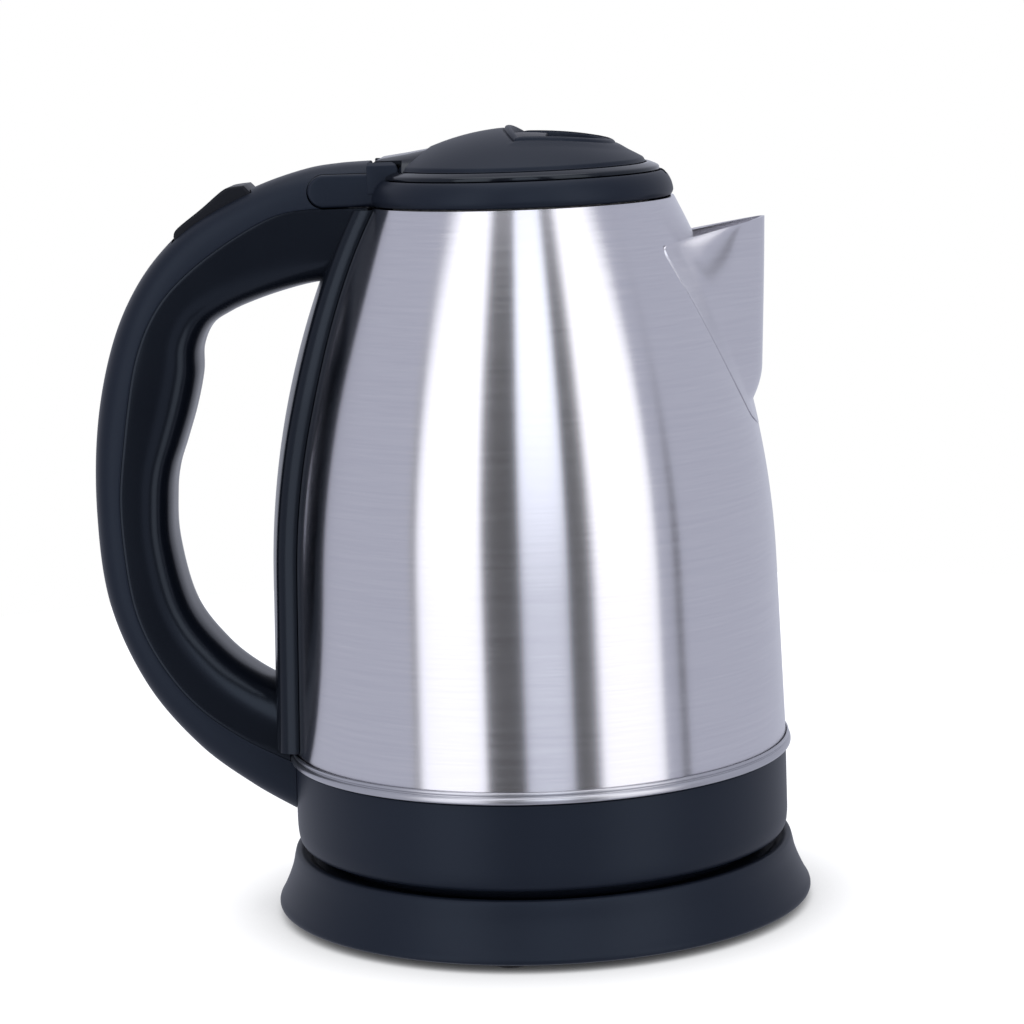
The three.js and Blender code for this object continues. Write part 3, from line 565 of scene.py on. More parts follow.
def brushed(name, colour, line_colour, roughness, line_scale=5200.0, stretch=0.75, line_depth=0.00001):
    """Brushed metal: the highlight is drawn out up and down, square to the lines."""
    material = bpy.data.materials.new(name)
    material.use_nodes = True
    nodes, link = material.node_tree.nodes, material.node_tree.links.new
    shader = nodes["Principled BSDF"]
    shader.inputs["Metallic"].default_value = 1.0
    shader.inputs["Anisotropic"].default_value = stretch
    shader.inputs["Anisotropic Rotation"].default_value = 0.25
    skin = nodes.new("ShaderNodeGroup")
    skin.node_tree = BRUSHED
    skin.inputs["Line Scale"].default_value = line_scale
    skin.inputs["Colour"].default_value = (*colour, 1)
    skin.inputs["Line Colour"].default_value = (*line_colour, 1)
    skin.inputs["Roughness"].default_value = roughness
    bump = nodes.new("ShaderNodeBump")
    bump.inputs["Strength"].default_value = 0.07
    bump.inputs["Distance"].default_value = line_depth
    tangent = nodes.new("ShaderNodeTangent")
    tangent.direction_type = "RADIAL"
    tangent.axis = "Z"
    link(skin.outputs["Colour"], shader.inputs["Base Color"])
    link(skin.outputs["Roughness"], shader.inputs["Roughness"])
    link(skin.outputs["Height"], bump.inputs["Height"])
    link(bump.outputs["Normal"], shader.inputs["Normal"])
    link(tangent.outputs["Tangent"], shader.inputs["Tangent"])
    return material


brushed_steel = brushed("brushed_steel", (0.68, 0.67, 0.70), (0.60, 0.59, 0.63), 0.25, stretch=1.0)
bead_steel = brushed("bead_steel", (0.50, 0.50, 0.53), (0.42, 0.42, 0.45), 0.3, 2600.0, 0.4)

JUG_FOOT, JUG_MOUTH, SHEET = 47.4, 210.0, 0.9
TAPER, SHOULDER, SHOULDER_ARC = 0.0286, 103.0, 250.0


def jug_radius(z):
    """Outer radius in mm at height z: a straight taper less the sag of a circular shoulder."""
    rise = np.maximum(0, z - SHOULDER)
    sag = SHOULDER_ARC - np.sqrt(SHOULDER_ARC**2 - rise**2)
    return 73.65 - TAPER * (z - 47) - sag


def jug_wall(offset, low, high, count=90):
    """[radius, z] points up the jug's wall, moved outwards by an offset."""
    z = np.linspace(low, high, count)
    return np.stack([jug_radius(z) + offset, z], axis=-1)


def revolved(name, profile, around=AROUND):
    """A closed [radius, z] profile revolved as it is, with no easing."""
    turn = np.arange(around)[:, None] * 2 * np.pi / around
    points = np.stack(
        [profile[None, :, 0] * np.cos(turn), profile[None, :, 0] * np.sin(turn),
         np.broadcast_to(profile[None, :, 1], (around, len(profile)))], axis=-1,
    )
    return surface_mesh(name, points, wrap_rows=True, wrap_columns=True)


jug_section = [jug_wall(0, JUG_FOOT, JUG_MOUTH), jug_wall(-SHEET, JUG_FOOT, JUG_MOUTH)[::-1]]
jug = revolved("steel_jug", np.concatenate(jug_section), 256)
hole_shape = [(19, 192), (-19, 192), (-16, 172), (-6, 156), (6, 156), (16, 172)]
shaded(cut_with(jug, prism("pour_hole", hole_shape, 20, 90, "X")))
finish(jug, brushed_steel, "jug", ["body_shell"])

bead = turned("foot_bead", [
    (73.9, 47.0), (74.7, 47.0, 0.3), (75.0, 47.4, 0.4), (75.0, 48.4, 0.5), (74.5, 49.0, 0.3),
    (74.2, 49.1, 0.2), (74.2, 49.4, 0.2), (74.5, 49.7, 0.2), (74.4, 50.3, 0.3), (73.9, 50.5, 0.2),
], 0.2, 256)
finish(bead, bead_steel, "jug", ["seam_ring"])

# ---------------------------------------------------------------- spout
# A pressed steel V spout spot-welded over the pouring hole. A narrow flange lies on the jug, a
# soft crease turns it outwards, and the two walls meet in a small round nose.

SPOUT_FOOT, SPOUT_CORNER, SPOUT_TIP = 142.6, 197.5, 203.3
SPOUT_REACH, RIM_ROOT, SPOUT_SHEET, FLANGE_LIFT, FLANGE_SHARE = 71.3, 43.0, 0.8, 0.12, 0.26
GROOVE_OUT, GROOVE_RADIUS = 0.3, 0.42
WELD = np.array([(0.0, 142.6), (5.5, 143.3), (10.0, 144.8), (14.6, 147.2), (19.1, 153.2), (22.5, 160.0),
                 (25.2, 168.0), (27.3, 177.0), (28.9, 187.0), (29.6, 194.0), (29.2, 196.6), (28.0, 197.5)])


def through_at(points, t):
    """A Catmull-Rom curve through the points, read at parameters that count the points from 0."""
    points = np.asarray(points, float)
    i = np.clip(t.astype(int), 0, len(points) - 2)
    w = (t - i)[:, None]
    p0, p1 = points[np.maximum(i - 1, 0)], points[i]
    p2, p3 = points[i + 1], points[np.minimum(i + 2, len(points) - 1)]
    slope1, slope2 = (p2 - p0) / 2, (p3 - p1) / 2
    return ((2 * p1 - 2 * p2 + slope1 + slope2) * w**3 + (-3 * p1 + 3 * p2 - 2 * slope1 - slope2) * w**2
            + slope1 * w + p1)


def through(points, samples):
    """The same curve, evenly sampled in its parameter."""
    return through_at(points, np.linspace(0, len(points) - 1, samples))


def softened(values, passes=12):
    """Rows of values, each pass moved to the mean of their neighbours; the ends stay."""
    values = values.copy()
    for _ in range(passes):
        values[1:-1] = 0.25 * values[:-2] + 0.5 * values[1:-1] + 0.25 * values[2:]
    return values


def spout_surface():
    """Rows run up from the weld's foot to the rim, columns across from weld to nose to weld.

    A level section rises from just under the jug's wall, lies on it for the flange, then follows a
    cubic curve that leaves the crease and meets the nose squarely. The crease is softened across the
    columns. The nose turns in at its foot, and the rim rises in a straight line to the tip.
    """
    weld = through(WELD, 400)
    rows, flange_columns, wall_columns = 110, 10, 46
    v = np.linspace(0, 1, rows) ** 0.85
    level = SPOUT_FOOT + v * (SPOUT_CORNER - SPOUT_FOOT)
    half = np.interp(level, weld[:, 1], weld[:, 0])
    half[-1] = 28.0
    flange = FLANGE_SHARE * half
    crease = half - flange
    radius = jug_radius(level)
    columns = []
    for s in np.maximum(0, np.linspace(-1 / flange_columns, 1, flange_columns + 1, endpoint=False)):
        y = half - s * flange
        stand = FLANGE_LIFT if columns else -0.3
        columns.append((np.sqrt(np.maximum((radius + stand) ** 2 - y**2, 0)), y, level))
    root = np.sqrt(np.maximum((radius + FLANGE_LIFT) ** 2 - crease**2, 0))
    drop = np.clip((160 - level) / 11, 0, 2)
    nose = SPOUT_REACH - 0.045 * (SPOUT_TIP - level) - 3.0 * drop**2
    nose = np.maximum(nose, jug_radius(level) + FLANGE_LIFT)
    opening = nose - root
    p1 = (root + opening * 0.55, crease * 0.60)
    p2 = (nose, crease * 0.34)
    for s in np.linspace(0, 1, wall_columns):
        a, b, c, d = (1 - s) ** 3, 3 * s * (1 - s) ** 2, 3 * s**2 * (1 - s), s**3
        x = a * root + b * p1[0] + c * p2[0] + d * nose
        y = a * crease + b * p1[1] + c * p2[1]
        columns.append((x, y, level))
    near = np.stack([np.stack(c, axis=-1) for c in columns], axis=1)
    near[:, 1:] = softened(near[:, 1:].swapaxes(0, 1), 10).swapaxes(0, 1)
    rim_share = np.clip((near[-1, :, 0] - RIM_ROOT) / (SPOUT_REACH - RIM_ROOT), 0, 1)
    rim_rise = rim_share * (SPOUT_TIP - SPOUT_CORNER)
    stretch = ((near[:, :, 2] - SPOUT_FOOT) / (SPOUT_CORNER - SPOUT_FOOT)) ** 6
    near[:, :, 2] += stretch * rim_rise[None, :]
    far = near[:, -2::-1].copy()
    far[:, :, 1] *= -1
    return np.concatenate([near * [1, -1, 1], far * [1, -1, 1]], axis=1)


def weld_groove():
    """A thin tube that follows the weld round the spout, just outside its edge, on the jug's wall."""
    side = through(WELD, 90) + [GROOVE_OUT, 0]
    path = np.concatenate([side[::-1], side[1:] * [-1, 1]])
    radius = jug_radius(path[:, 1])
    centre = np.column_stack([np.sqrt(radius**2 - path[:, 0] ** 2), path])
    out = np.column_stack([centre[:, :2] / radius[:, None], np.zeros(len(path))])
    along = np.gradient(centre, axis=0)
    across = np.cross(along / np.linalg.norm(along, axis=1, keepdims=True), out)
    turn = np.arange(8)[None, :, None] * np.pi / 4
    return centre[:, None] + GROOVE_RADIUS * (np.cos(turn) * out[:, None] + np.sin(turn) * across[:, None])


shaded(cut_with(jug, surface_mesh("weld_groove", weld_groove(), wrap_columns=True)))
spout = surface_mesh("pouring_spout", spout_surface()[:, ::-1], sheet=True)
thick = spout.modifiers.new("sheet", "SOLIDIFY")
thick.thickness = SPOUT_SHEET * MM
thick.offset = -1
shaded(applied(spout), 50)
finish(spout, brushed_steel, "jug", ["spout"])

# ---------------------------------------------------------------- collar and neck
# The black ring pressed on the jug's mouth. Its neck carries the lid's hinge between two ears and
# runs back under the handle's shell; both are one satin moulding.

MOUTH, HINGE_X, HINGE_Z, KNUCKLE = 41.1, -38.0, 219.5, 4.9
NECK_REAR, NECK_LOW, NECK_HIGH, NECK_HALF = -61.0, 210.4, 219.95, 14.6
CHEEK_IN, CHEEK_OUT = 12.9, 14.8
KNUCKLE_GAP, PIN_BORE = 0.5, 1.8


def rod(name, radius, half_length, x, z, steps=64):
    """A round rod along Y."""
    return prism(name, arc(x, z, radius, 0, 360, steps + 1)[:-1], -half_length, half_length, "Y")


def neck_outline(grow=0.0):
    """Side of the neck: flat above and below, with a round rear end."""
    radius = (NECK_HIGH - NECK_LOW) / 2 + grow
    middle = (NECK_HIGH + NECK_LOW) / 2
    rear = arc(NECK_REAR - grow + radius, middle, radius, 90, 270, 24)
    return np.concatenate([rear, [[-30, NECK_LOW - grow], [-30, NECK_HIGH + grow]]])


def crowned(half_width, low, top, arch=27.8, steps=33):
    """A [y, z] outline with a flat foot and a top that is an arc of one radius."""
    y = np.linspace(half_width, -half_width, steps)
    crown = np.column_stack([y, top - arch + np.sqrt(arch**2 - y**2)])
    return np.concatenate([[(-half_width, low), (half_width, low)], crown])


def box_between(name, x0, x1, y_half, z0, z1):
    """A plain block, to cut with."""
    return prism(name, [(x0, z0), (x1, z0), (x1, z1), (x0, z1)], -y_half, y_half, "Y")


def edge_rounded(piece, width, segments, sharper_than=30.0):
    """Round the edges that turn by more than an angle in degrees, over a width in millimetres."""
    edge = piece.modifiers.new("edge", "BEVEL")
    edge.width = width * MM
    edge.segments = segments
    edge.limit_method = "ANGLE"
    edge.angle_limit = math.radians(sharper_than)
    return applied(piece)


collar = turned("mouth_collar", [
    (38.6, 210.4), (44.0, 210.4, 0.3), (44.8, 211.6, 0.8), (44.65, 213.0, 0.8), (44.2, 214.6, 0.8),
    (43.3, 216.3, 1.0), (42.2, 217.5, 0.6), (41.5, 217.8, 0.4), (MOUTH, 217.4, 0.3), (MOUTH, 212.4),
    (38.6, 212.4),
], 0.4, 256)
neck = edge_rounded(prism("neck", neck_outline(), -NECK_HALF, NECK_HALF, "Y"), 1.1, 4)
cut_with(neck, turned("mouth", [(0, 200), (MOUTH, 200), (MOUTH, 240), (0, 240)], 0, 192))
cut_with(collar, neck, "UNION")
cut_with(collar, box_between("hinge_slot", -46.5, -30, 9.4, 212.6, 232))
for side in (-1, 1):
    inner, outer = sorted((side * CHEEK_IN, side * CHEEK_OUT))
    side_view = [(-43.4, 214), (-43.4, 223.3), (-36.2, 223.3), (-34.9, 222.4), (-34.2, 220.8), (-34.2, 214)]
    cheek = prism("cheek", side_view, inner, outer, "Y")
    cut_with(cheek, prism("arch", crowned(18.4, 212, 226.4), -50, -20, "X"), "INTERSECT")
    edge_rounded(cheek, 0.5, 3)
    cut_with(collar, cheek, "UNION")
cut_with(collar, rod("knuckle_room", KNUCKLE + KNUCKLE_GAP, CHEEK_IN, HINGE_X, HINGE_Z))
cut_with(collar, prism("latch_notch", [(-4.5, 212.6), (4.5, 212.6), (4.5, 222), (-4.5, 222)], 40, 42.9, "X"))
for side in (-1, 1):
    inner, outer = sorted((side * 9.6, side * 12.6))
    front = [(HINGE_X + 3.4, 214.0), (HINGE_X + 3.4, HINGE_Z)]
    top = arc(HINGE_X, HINGE_Z, 2.9, 0, 180, 20)
    back = [(HINGE_X - 2.9, 218), (HINGE_X - 2.2, 217.4), (HINGE_X - 2.2, 214.0)]
    cut_with(collar, prism("ear", np.concatenate([front, top, back]), inner, outer, "Y"), "UNION")
shaded(collar, 35)
finish(collar, satin_black, "jug", ["lid_collar"])

# ---------------------------------------------------------------- lid ring and hinge tongue
# The lid's bevelled ring, glossier than the cap, with a crowned tongue that runs back between the
# collar's ears and turns on the hinge pin.

TONGUE_HALF, TONGUE_TAIL, TONGUE_TAIL_HALF = 18.0, -43.4, 12.6


def tongue_plan(grow=0.0):
    """Plan of the tongue: a round nose on the lid and a straight tail over the pin."""
    y = np.linspace(TONGUE_HALF, -TONGUE_HALF, 25)
    nose = np.column_stack([-33 + 7 * (1 - (y / TONGUE_HALF) ** 2) + grow, y * (1 + grow / TONGUE_HALF)])
    narrow = TONGUE_TAIL_HALF + grow
    tail = [(-33.2, -narrow), (TONGUE_TAIL, -narrow), (TONGUE_TAIL, narrow), (-33.2, narrow)]
    return np.concatenate([nose, tail])


ring = turned("lid_bevel_ring", [
    (34.3, 214), (39.6, 214), (39.6, 217.8, 0.1), (40.85, 217.9, 0.2), (40.85, 219.0, 0.9),
    (38.2, 220.15, 0.5), (37.3, 220.2, 0.2), (37.3, 218.6), (34.3, 218.6),
], 0.3, 256)
tongue = prism("tongue", tongue_plan(), 214, 230, "Z")
sloped = [(-24, 214), (-24, 226.3), (-33, 224.7), (-38, 224.0), (TONGUE_TAIL, 223.2), (TONGUE_TAIL, 214)]
cut_with(tongue, prism("slope", sloped, -30, 30, "Y"), "INTERSECT")
cut_with(tongue, prism("arch", crowned(18.4, 212, 226.4), -50, -20, "X"), "INTERSECT")
outside_knuckle = box_between("behind", -50, HINGE_X, 30, 205, 232)
cut_with(outside_knuckle, rod("knuckle", KNUCKLE, 32, HINGE_X, HINGE_Z))
cut_with(tongue, outside_knuckle)
for side in (-1, 1):
    inner, outer = sorted((side * 9.1, side * 30))
    beside = prism("beside", [(-50, 205), (-33.6, 205), (-33.6, 222.3), (-50, 222.3)], inner, outer, "Y")
    cut_with(tongue, beside)
    over_ear = prism("over_ear", arc(HINGE_X, HINGE_Z, 3.3, 0, 360, 33)[:-1], inner, outer, "Y")
    cut_with(tongue, over_ear)
cut_with(tongue, rod("bore", PIN_BORE, 20, HINGE_X, HINGE_Z))
cut_with(ring, box_between("hinge_side", -60, -33, 15.2, 200, 230))
cut_with(ring, tongue, "UNION")
cut_with(ring, prism("latch_way", [(-4.4, 213.6), (4.4, 213.6), (4.4, 217.4), (-4.4, 217.4)], 30, 50, "X"))
shaded(ring, 35)
finish(ring, gloss_black, "lid", ["lid_rim"])

# ---------------------------------------------------------------- lid cap
# The satin domed cap that snaps into the ring. A raised lip frames a D-shaped finger recess, and
# the lip's rear bar is a hood that the latch plate slides under.

DOME_PEAK, DOME_SPHERE, DOME_EDGE = 231.4, 71.0, 36.9
LIP_REAR, LIP_FRONT, LIP_HALF, LIP_BOW, LIP_WIDTH = -4.0, 28.5, 21.5, 4.0, 2.0
WELL_FLOOR, WELL_MIDDLE = 222.0, 12.5


def dome_height(radius):
    """Height of the round dome at a radius from the axis."""
    return DOME_PEAK - DOME_SPHERE + np.sqrt(DOME_SPHERE**2 - radius**2)


def smooth_step(value, low, high):
    """A step from 0 to 1 that starts and ends level: 3t^2 - 2t^3."""
    t = np.clip((value - low) / (high - low), 0, 1)
    return t * t * (3 - 2 * t)


def inside_lip(x, y):
    """Distance in mm inside the lip's outer edge: a shallow rear arc, then half an ellipse."""
    behind = (x - LIP_REAR - LIP_BOW * np.clip(np.abs(y) / LIP_HALF, 0, 1.3) ** 2)
    reach = LIP_FRONT - LIP_REAR - LIP_BOW
    ellipse = np.hypot(np.maximum(x - LIP_REAR - LIP_BOW, 0) / reach, y / LIP_HALF)
    return behind, (1 - ellipse) * LIP_HALF


def dome_plan(columns=320):
    """Rays from the well's middle, with rows that run parallel to the lip and bunch up on it.

    The lip's outer edge on each ray is found by halving; the last rows end on the dome's round edge.
    """
    turn = np.arange(columns) * 2 * np.pi / columns
    ray_x, ray_y = np.cos(turn), np.sin(turn)
    lip, beyond = np.zeros(columns), np.full(columns, 30.0)
    for _ in range(30):
        middle = (lip + beyond) / 2
        inside = np.minimum(*inside_lip(WELL_MIDDLE + middle * ray_x, middle * ray_y)) > 0
        lip, beyond = np.where(inside, middle, lip), np.where(inside, beyond, middle)
    edge = np.sqrt(DOME_EDGE**2 - (WELL_MIDDLE * ray_y) ** 2) - WELL_MIDDLE * ray_x
    well = np.linspace(0, 1, 14)[:, None] * (lip - 4.0)
    over_lip = lip - np.linspace(4.0, -0.6, 46)[1:, None]
    outside = lip + 0.6 + (edge - lip - 0.6) * np.sin(np.linspace(0, np.pi / 2, 32))[1:, None]
    reach = np.concatenate([well, over_lip, outside])
    return WELL_MIDDLE + reach * ray_x, reach * ray_y


def dome_surface():
    """Height over the plan: a sphere, a rounded lip 0.6 mm proud, and a well inside the lip.

    A groove 0.5 mm deep runs along the lip's rear; the well's wall falls over 1 mm to a dished floor.
    """
    x, y = dome_plan()
    radius = np.hypot(x, y)
    z = dome_height(radius)
    behind, ahead = inside_lip(x, y)
    inside = np.minimum(behind, ahead)
    at_rear = smooth_step(ahead - behind, -1.5, 1.5)
    z = z - 0.55 * np.exp(-(((inside + 0.05) / 0.3) ** 2)) * (0.35 + 0.65 * at_rear)
    across = np.clip((inside - 1.15) / 1.0, -1, 1)
    z = z + (0.55 + 0.08 * at_rear) * np.sqrt(np.maximum(1 - across**2, 0)) * (inside > 0)
    z = z + 0.45 * smooth_step(inside, -3.5, 0.2) * (1 - at_rear) * (inside < 1.2)
    depth = smooth_step(inside, LIP_WIDTH - 0.1, LIP_WIDTH + 0.9)
    floor_height = WELL_FLOOR + 0.012 * (x - 14) ** 2 + 0.004 * y**2
    z = z * (1 - depth) + np.minimum(floor_height, z) * depth
    z = z - 0.7 * smooth_step(radius, DOME_EDGE - 1.0, DOME_EDGE) ** 2
    return np.stack([x, y, z], axis=-1)


dome = surface_mesh("lid_cap", dome_surface(), wrap_columns=True, sheet=True)
thick = dome.modifiers.new("wall", "SOLIDIFY")
thick.thickness = 1.5 * MM
thick.offset = -1
applied(dome)
cut_with(dome, prism("tongue_room", tongue_plan(0.3), 210, 240, "Z"))
cut_with(dome, box_between("stem_slot", -9.4, 4.9, 5.4, 216.2, 225.4))
shaded(dome, 50)
finish(dome, satin_black, "lid", ["lid_dome"])

# ---------------------------------------------------------------- lid latch
# The smooth black plate in the recess. A fingertip in the well pulls it back under the hood, which
# draws the long tongue below the cap out of the collar's notch. A wire coil behind it is pressed short.

plate_side = [(-5, 225.8), (6.7, 225.8), (6.7, 223.6), (8.3, 223.6), (8.3, 240), (-5, 240)]
latch = prism("latch_plate", plate_side, -18, 18, "Y")
dome_inside = [(float(r), float(dome_height(r)) - 1.7) for r in np.linspace(36, 0, 40)]
under_hood = turned("under_hood", [(0, 210), (36, 210), *dome_inside], 0, 128)
cut_with(latch, under_hood, "INTERSECT")
edge_rounded(latch, 0.6, 3, 50)
arm_side = [(-3.2, 216.6), (41.9, 213.9), (41.9, 216.4), (4.4, 219), (4.4, 227), (-1, 227), (-1, 219.4),
            (-3.2, 219.4)]
cut_with(latch, prism("latch_arm", arm_side, -4, 4, "Y"), "UNION")
shaded(latch, 40)
latch_black = moulded("latch_black_plastic", (0.004, 0.005, 0.008), (0.006, 0.007, 0.01), 0.36,
                      900.0, 0.00001, 0.12)
finish(latch, latch_black, "latch", ["lid_latch"])


def coil_surface(first, last, radius, wire, turns, height):
    """A wire of one radius carried round a helix along X; its tube's frame is the helix's own."""
    s = np.linspace(0, 1, turns * 24 + 1)
    turn = 2 * np.pi * turns * s
    out = np.column_stack([np.zeros_like(turn), np.cos(turn), np.sin(turn)])
    axis = np.column_stack([first + (last - first) * s, np.zeros_like(s), np.full_like(s, height)])
    centre = axis + radius * out
    along = np.gradient(centre, axis=0)
    across = np.cross(along / np.linalg.norm(along, axis=1, keepdims=True), out)
    round_wire = np.arange(8)[None, :, None] * np.pi / 4
    return centre[:, None] + wire * (np.cos(round_wire) * out[:, None] + np.sin(round_wire) * across[:, None])


spring = surface_mesh("latch_coil", coil_surface(-8.35, -4.05, 0.78, 0.24, 7, 217.9), wrap_columns=True)
plain_steel = brushed("plain_steel", (0.62, 0.62, 0.64), (0.55, 0.55, 0.57), 0.3, 1800.0, 0.2)
finish(spring, plain_steel, "lid", ["latch_spring"])
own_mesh(spring)

# ---------------------------------------------------------------- handle shells
# Two black mouldings screwed together round a hollow: the outer shell runs from the neck over the
# top to the skirt, and the inner shell lines the grip and lies against the jug as a broad strap.

HANDLE_BACK = [
    (-43.6, 223.0), (-53, 222.6), (-62.6, 221.3), (-75.7, 217.4), (-89, 211.4), (-101, 203.5),
    (-112.7, 190.3), (-121.5, 172.7), (-127.3, 149), (-129.0, 122), (-126.5, 94.4), (-116.6, 69.7),
    (-101.8, 50.8), (-86, 38.2), (-71.5, 29.4),
]
HANDLE_JOINT = [
    (-43.6, 210.2), (-61.3, 210.2), (-73.2, 207.7), (-90.8, 197.6), (-104.1, 186), (-111.8, 172.9),
    (-115.6, 159.6), (-119.1, 137.4), (-120.4, 120.8), (-117, 91.2), (-104.8, 68.8), (-89, 55.3),
    (-71.5, 46.2),
]
GRIP_FRONT = [
    (-43.6, 190), (-53, 189.2), (-62.1, 188.1), (-71, 186), (-79.5, 183.3), (-86, 180.6),
    (-92.3, 176.6), (-95.6, 170), (-96.2, 162), (-98.6, 152), (-101.9, 142.2), (-104.6, 134.5),
    (-105.9, 126), (-105.9, 112.1), (-101.7, 93.8), (-93, 81.3), (-83.5, 73.2), (-71.5, 66.5),
]
FRONT_AT = [0, 1, 2, 3.1, 4.2, 5.3, 6.4, 8.0, 9.9, 12.4, 13.9, 14.6, 15.3, 16.1, 17]
HANDLE_HALF_WIDTH, HANDLE_SQUARENESS = 15.0, 0.62


def handle_spine(rows):
    """Centre, half depth vector and joint place of each row across the handle, seen from the side.

    A row runs from the grip side to the back: each point of HANDLE_BACK faces the place on GRIP_FRONT
    that FRONT_AT counts. The joint's share of the half depth is where the joint curve crosses the row.
    """
    t = np.linspace(0, len(HANDLE_BACK) - 1, rows)
    back = through_at(HANDLE_BACK, t)
    pairs = through_at(np.column_stack([FRONT_AT, FRONT_AT]), t)[:, 0]
    front = through_at(GRIP_FRONT, np.clip(pairs, 0, len(GRIP_FRONT) - 1))
    joint = through_at(HANDLE_JOINT, np.linspace(0, len(HANDLE_JOINT) - 1, 1500))
    centre, reach = (back + front) / 2, (back - front) / 2
    away = joint[None, :, :] - centre[:, None, :]
    length = np.sum(reach**2, axis=1)[:, None]
    share = (away[..., 0] * reach[:, None, 0] + away[..., 1] * reach[:, None, 1]) / length
    miss = np.abs(away[..., 0] * reach[:, None, 1] - away[..., 1] * reach[:, None, 0])
    nearest = np.argmin(miss + 1e6 * (np.abs(share) > 0.99), axis=1)
    share = softened(share[np.arange(rows), nearest], 20)
    return centre, reach, np.clip(share, -0.93, 0.93)


def handle_grid(first_angle, last_angle, rows, columns):
    """Rows follow the handle; a row is part of a rounded rectangle from one joint to the other.

    At angle a the point stands cos(a) to a power of the half depth towards the back, and sin(a)
    to the same power of the half width to the side. Each row starts and ends at its own angles.
    """
    centre, reach, share = handle_spine(rows)
    joint_angle = np.arccos(np.sign(share) * np.abs(share) ** (1 / HANDLE_SQUARENESS))
    start = first_angle(joint_angle)[:, None]
    end = last_angle(joint_angle)[:, None]
    angle = start + (end - start) * np.linspace(0, 1, columns)[None, :]
    out = np.sign(np.cos(angle)) * np.abs(np.cos(angle)) ** HANDLE_SQUARENESS
    side = np.sign(np.sin(angle)) * np.abs(np.sin(angle)) ** HANDLE_SQUARENESS
    plane = centre[:, None] + reach[:, None] * out[..., None]
    return np.stack([plane[..., 0], side * HANDLE_HALF_WIDTH, plane[..., 1]], axis=-1)


def handle_shell(name, points, wall=2.2):
    """An open shell given its wall inwards, with a small round on its edges."""
    shell = surface_mesh(name, points[:, ::-1], sheet=True)
    thick = shell.modifiers.new("wall", "SOLIDIFY")
    thick.thickness = wall * MM
    thick.offset = -1
    return edge_rounded(shell, 0.35, 2, 55)


def jug_and_skirt_plug():
    """The jug, its bead and the skirt as one plug with a hair's clearance, to cut with."""
    wall = jug_wall(0.15, 51.0, 215.0, 60)
    below = [[0, 10], [73.65, 10], [73.65, 46.9], [75.15, 46.9], [75.15, 50.9], [wall[0, 0], 50.9]]
    return revolved("plug", np.concatenate([below, wall, [[0, 215.0]]]), 256)


JOINT_GAP = 0.003
outer = handle_shell("handle_back_shell", handle_grid(lambda a: -a, lambda a: a, 260, 64))
cut_with(outer, prism("neck_room", neck_outline(0.15), -30, 30, "Y"))
cut_with(outer, jug_and_skirt_plug())
cut_with(outer, rod("knuckle_room", KNUCKLE + KNUCKLE_GAP, CHEEK_IN, HINGE_X, HINGE_Z))
grip_grid = handle_grid(lambda a: a + JOINT_GAP, lambda a: 2 * np.pi - a - JOINT_GAP, 260, 84)
inner = handle_shell("handle_grip_shell", grip_grid)

STRAP_LOW, STRAP_HIGH, STRAP_PROUD, STRAP_FALL = 51.2, 209.6, 5.0, 4.0
STRAP_HALF, STRAP_NECK_HALF = 23.8, 17.5


def strap_surface(rows=150, across=60):
    """A closed loop at each height: out over the strap, then back along the jug's wall.

    The strap stands 5 mm proud in its middle and falls to the steel over its outer 4 mm as a quarter
    of a rounded square.
    """
    z = np.linspace(STRAP_LOW, STRAP_HIGH, rows)
    half = STRAP_HALF - (STRAP_HALF - STRAP_NECK_HALF) * smooth_step(z, 150, 208)
    s = np.sin(np.linspace(-np.pi / 2, np.pi / 2, across))
    inset = half[:, None] - STRAP_FALL
    fall = np.clip((np.abs(s)[None, :] * half[:, None] - inset) / STRAP_FALL, 0, 1)
    proud = 0.15 + STRAP_PROUD * (1 - fall**2.6) ** (1 / 2.0)
    y_out = s[None, :] * half[:, None]
    r_out = jug_radius(z)[:, None] + proud
    y_back = y_out[:, ::-1]
    r_back = jug_radius(z)[:, None] + 0.15 + 0 * y_back
    y, r = np.concatenate([y_out, y_back], axis=1), np.concatenate([r_out, r_back], axis=1)
    return np.stack([-np.sqrt(r**2 - y**2), y, np.broadcast_to(z[:, None], y.shape)], axis=-1)


strap = surface_mesh("strap", strap_surface(), wrap_columns=True)
cut_with(inner, prism("neck_room", neck_outline(0.3), -30, 30, "Y"))
cut_with(inner, jug_and_skirt_plug())
cut_with(inner, strap, "UNION")

# ---------------------------------------------------------------- rocker switch
# A black wedge on the top of the handle that rocks on a cross pin in a pocket of the outer shell.
# The two handle shells get their finish here, once the pocket is cut.

SWITCH_X, SWITCH_Z, SWITCH_HALF, SWITCH_FRONT, SWITCH_GAP = -96.5, 200.0, 9.0, 24.0, 0.4
pocket_front = arc(SWITCH_X, SWITCH_Z, SWITCH_FRONT + SWITCH_GAP, 65, 5, 20)
pocket_side = np.concatenate([[(-102, 225), (-86, 225)], pocket_front, [(-102, 199)]])
cut_with(outer, prism("pocket", pocket_side, -SWITCH_HALF - SWITCH_GAP, SWITCH_HALF + SWITCH_GAP, "Y"))
shaded(outer, 42)
shaded(inner, 42)
finish(outer, satin_black, "jug", ["handle_outer"])
# The inner shell is a smoother black moulding. Its colour is also made darker than the outer shell's as
# painted shade, because the grip faces down, away from the light.
shaded_smooth_black = moulded("smooth_black_plastic", (0.0022, 0.003, 0.0055), (0.0035, 0.0045, 0.0075),
                       0.22, 1800.0, 0.00001, 0.28, (0.7, 0.82, 1.0))
finish(inner, shaded_smooth_black, "jug", ["handle_inner"])

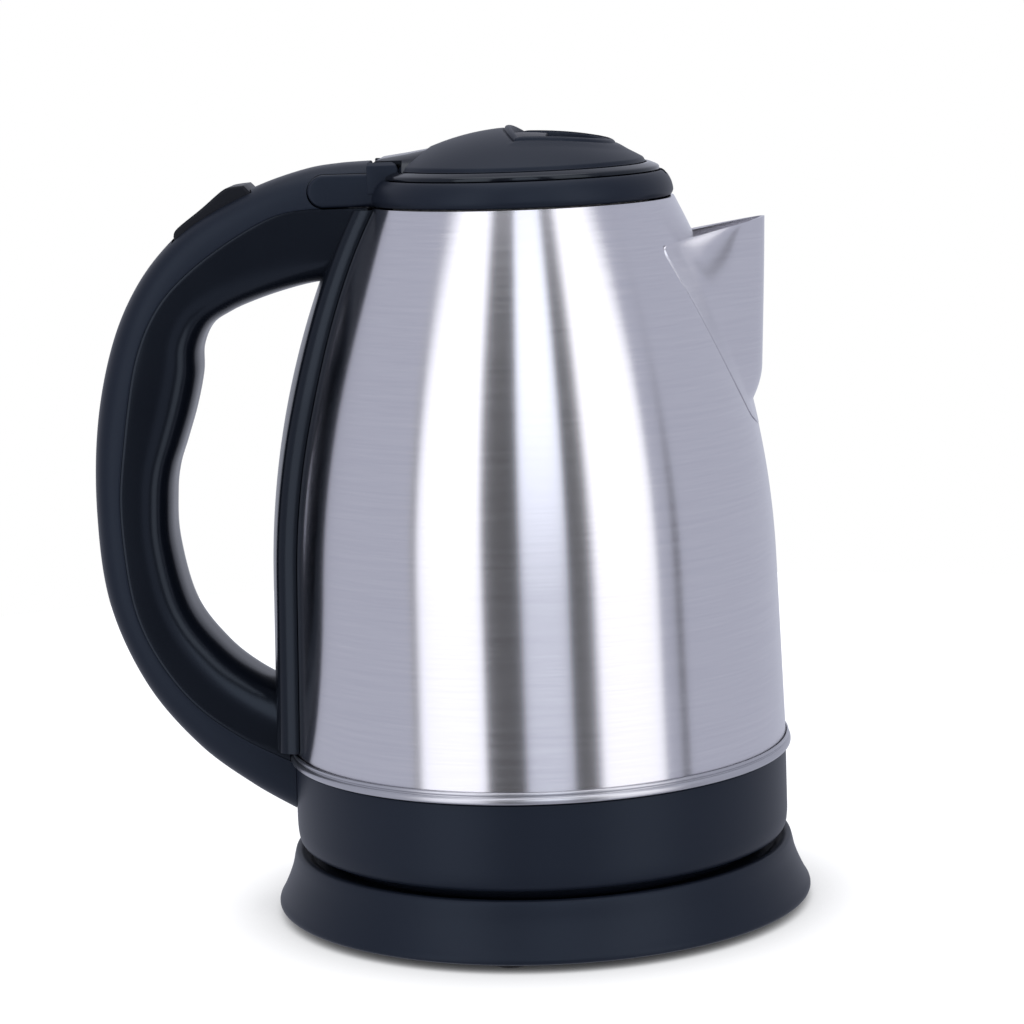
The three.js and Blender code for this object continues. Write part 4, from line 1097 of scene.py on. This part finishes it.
crown_of_switch = through([(-101.4, 203.2), (-100.2, 205.6), (-93, 211.0), (-88.2, 214.9), (-85.6, 216.7),
                           (-83.4, 217.2), (-80.1, 217.5)], 30)
switch_side = np.concatenate([crown_of_switch, arc(SWITCH_X, SWITCH_Z, SWITCH_FRONT, 46, 20, 14),
                              [(-84, 204.5), (-94, 197), (-97.5, 196), (-99.5, 198)]])
switch = prism("rocker_switch", switch_side, -SWITCH_HALF, SWITCH_HALF, "Y")
edge_rounded(switch, 0.8, 4, 50)
cut_with(switch, rod("pin_bore", PIN_BORE, 20, SWITCH_X, SWITCH_Z, 32))
shaded(switch, 40)
finish(switch, latch_black, "switch", ["power_switch"])

# ---------------------------------------------------------------- under the lid
# A pressed steel liner closes the lid from below, held by two screws, with a pale silicone seal
# round it that fills the gap to the collar.

pale_silicone = moulded("pale_silicone", (0.6, 0.6, 0.57), (0.5, 0.5, 0.48), 0.6)
liner = turned("lid_liner_pan", [
    (0, 206), (35, 206, 1), (36.4, 207.4, 1), (36.4, 213.7), (34, 213.7), (34, 208), (0, 208),
], 0.3, 192)
finish(liner, plain_steel, "lid", ["lid_liner"])
seal = turned("lid_lip_seal", [(36.7, 208.6), (38.2, 209.4), (38.2, 211.8), (36.7, 212.2)], 0.5, 192)
finish(seal, pale_silicone, "lid", ["lid_seal"])

# ---------------------------------------------------------------- everything kept from the frame
# Pieces whose plain shape is right: screws, pins, the spout's filter and what jug, skirt and handle
# hide. Each takes the material of its slot.

cast_aluminium = brushed("cast_aluminium", (0.7, 0.71, 0.72), (0.6, 0.6, 0.62), 0.5, 900.0, 0.0)
contact_brass = brushed("contact_brass", (0.72, 0.53, 0.24), (0.6, 0.44, 0.2), 0.3, 1800.0, 0.2)
white_plastic = moulded("white_plastic", (0.72, 0.71, 0.66), (0.62, 0.61, 0.57), 0.5)
SLOT_MATERIALS = {
    "black_plastic": satin_black, "gloss_black_plastic": gloss_black, "brushed_steel": brushed_steel,
    "plain_steel": plain_steel, "cast_aluminium": cast_aluminium, "contact_brass": contact_brass,
    "white_plastic": white_plastic, "rubber": rubber_black, "silicone": pale_silicone,
}
for entry in frame["record"]["subparts"]:
    node = frame["nodes"][entry["node"]]
    if node.name and not node.hide_render:
        for place in node.material_slots:
            place.material = SLOT_MATERIALS[entry["material_slot"]]
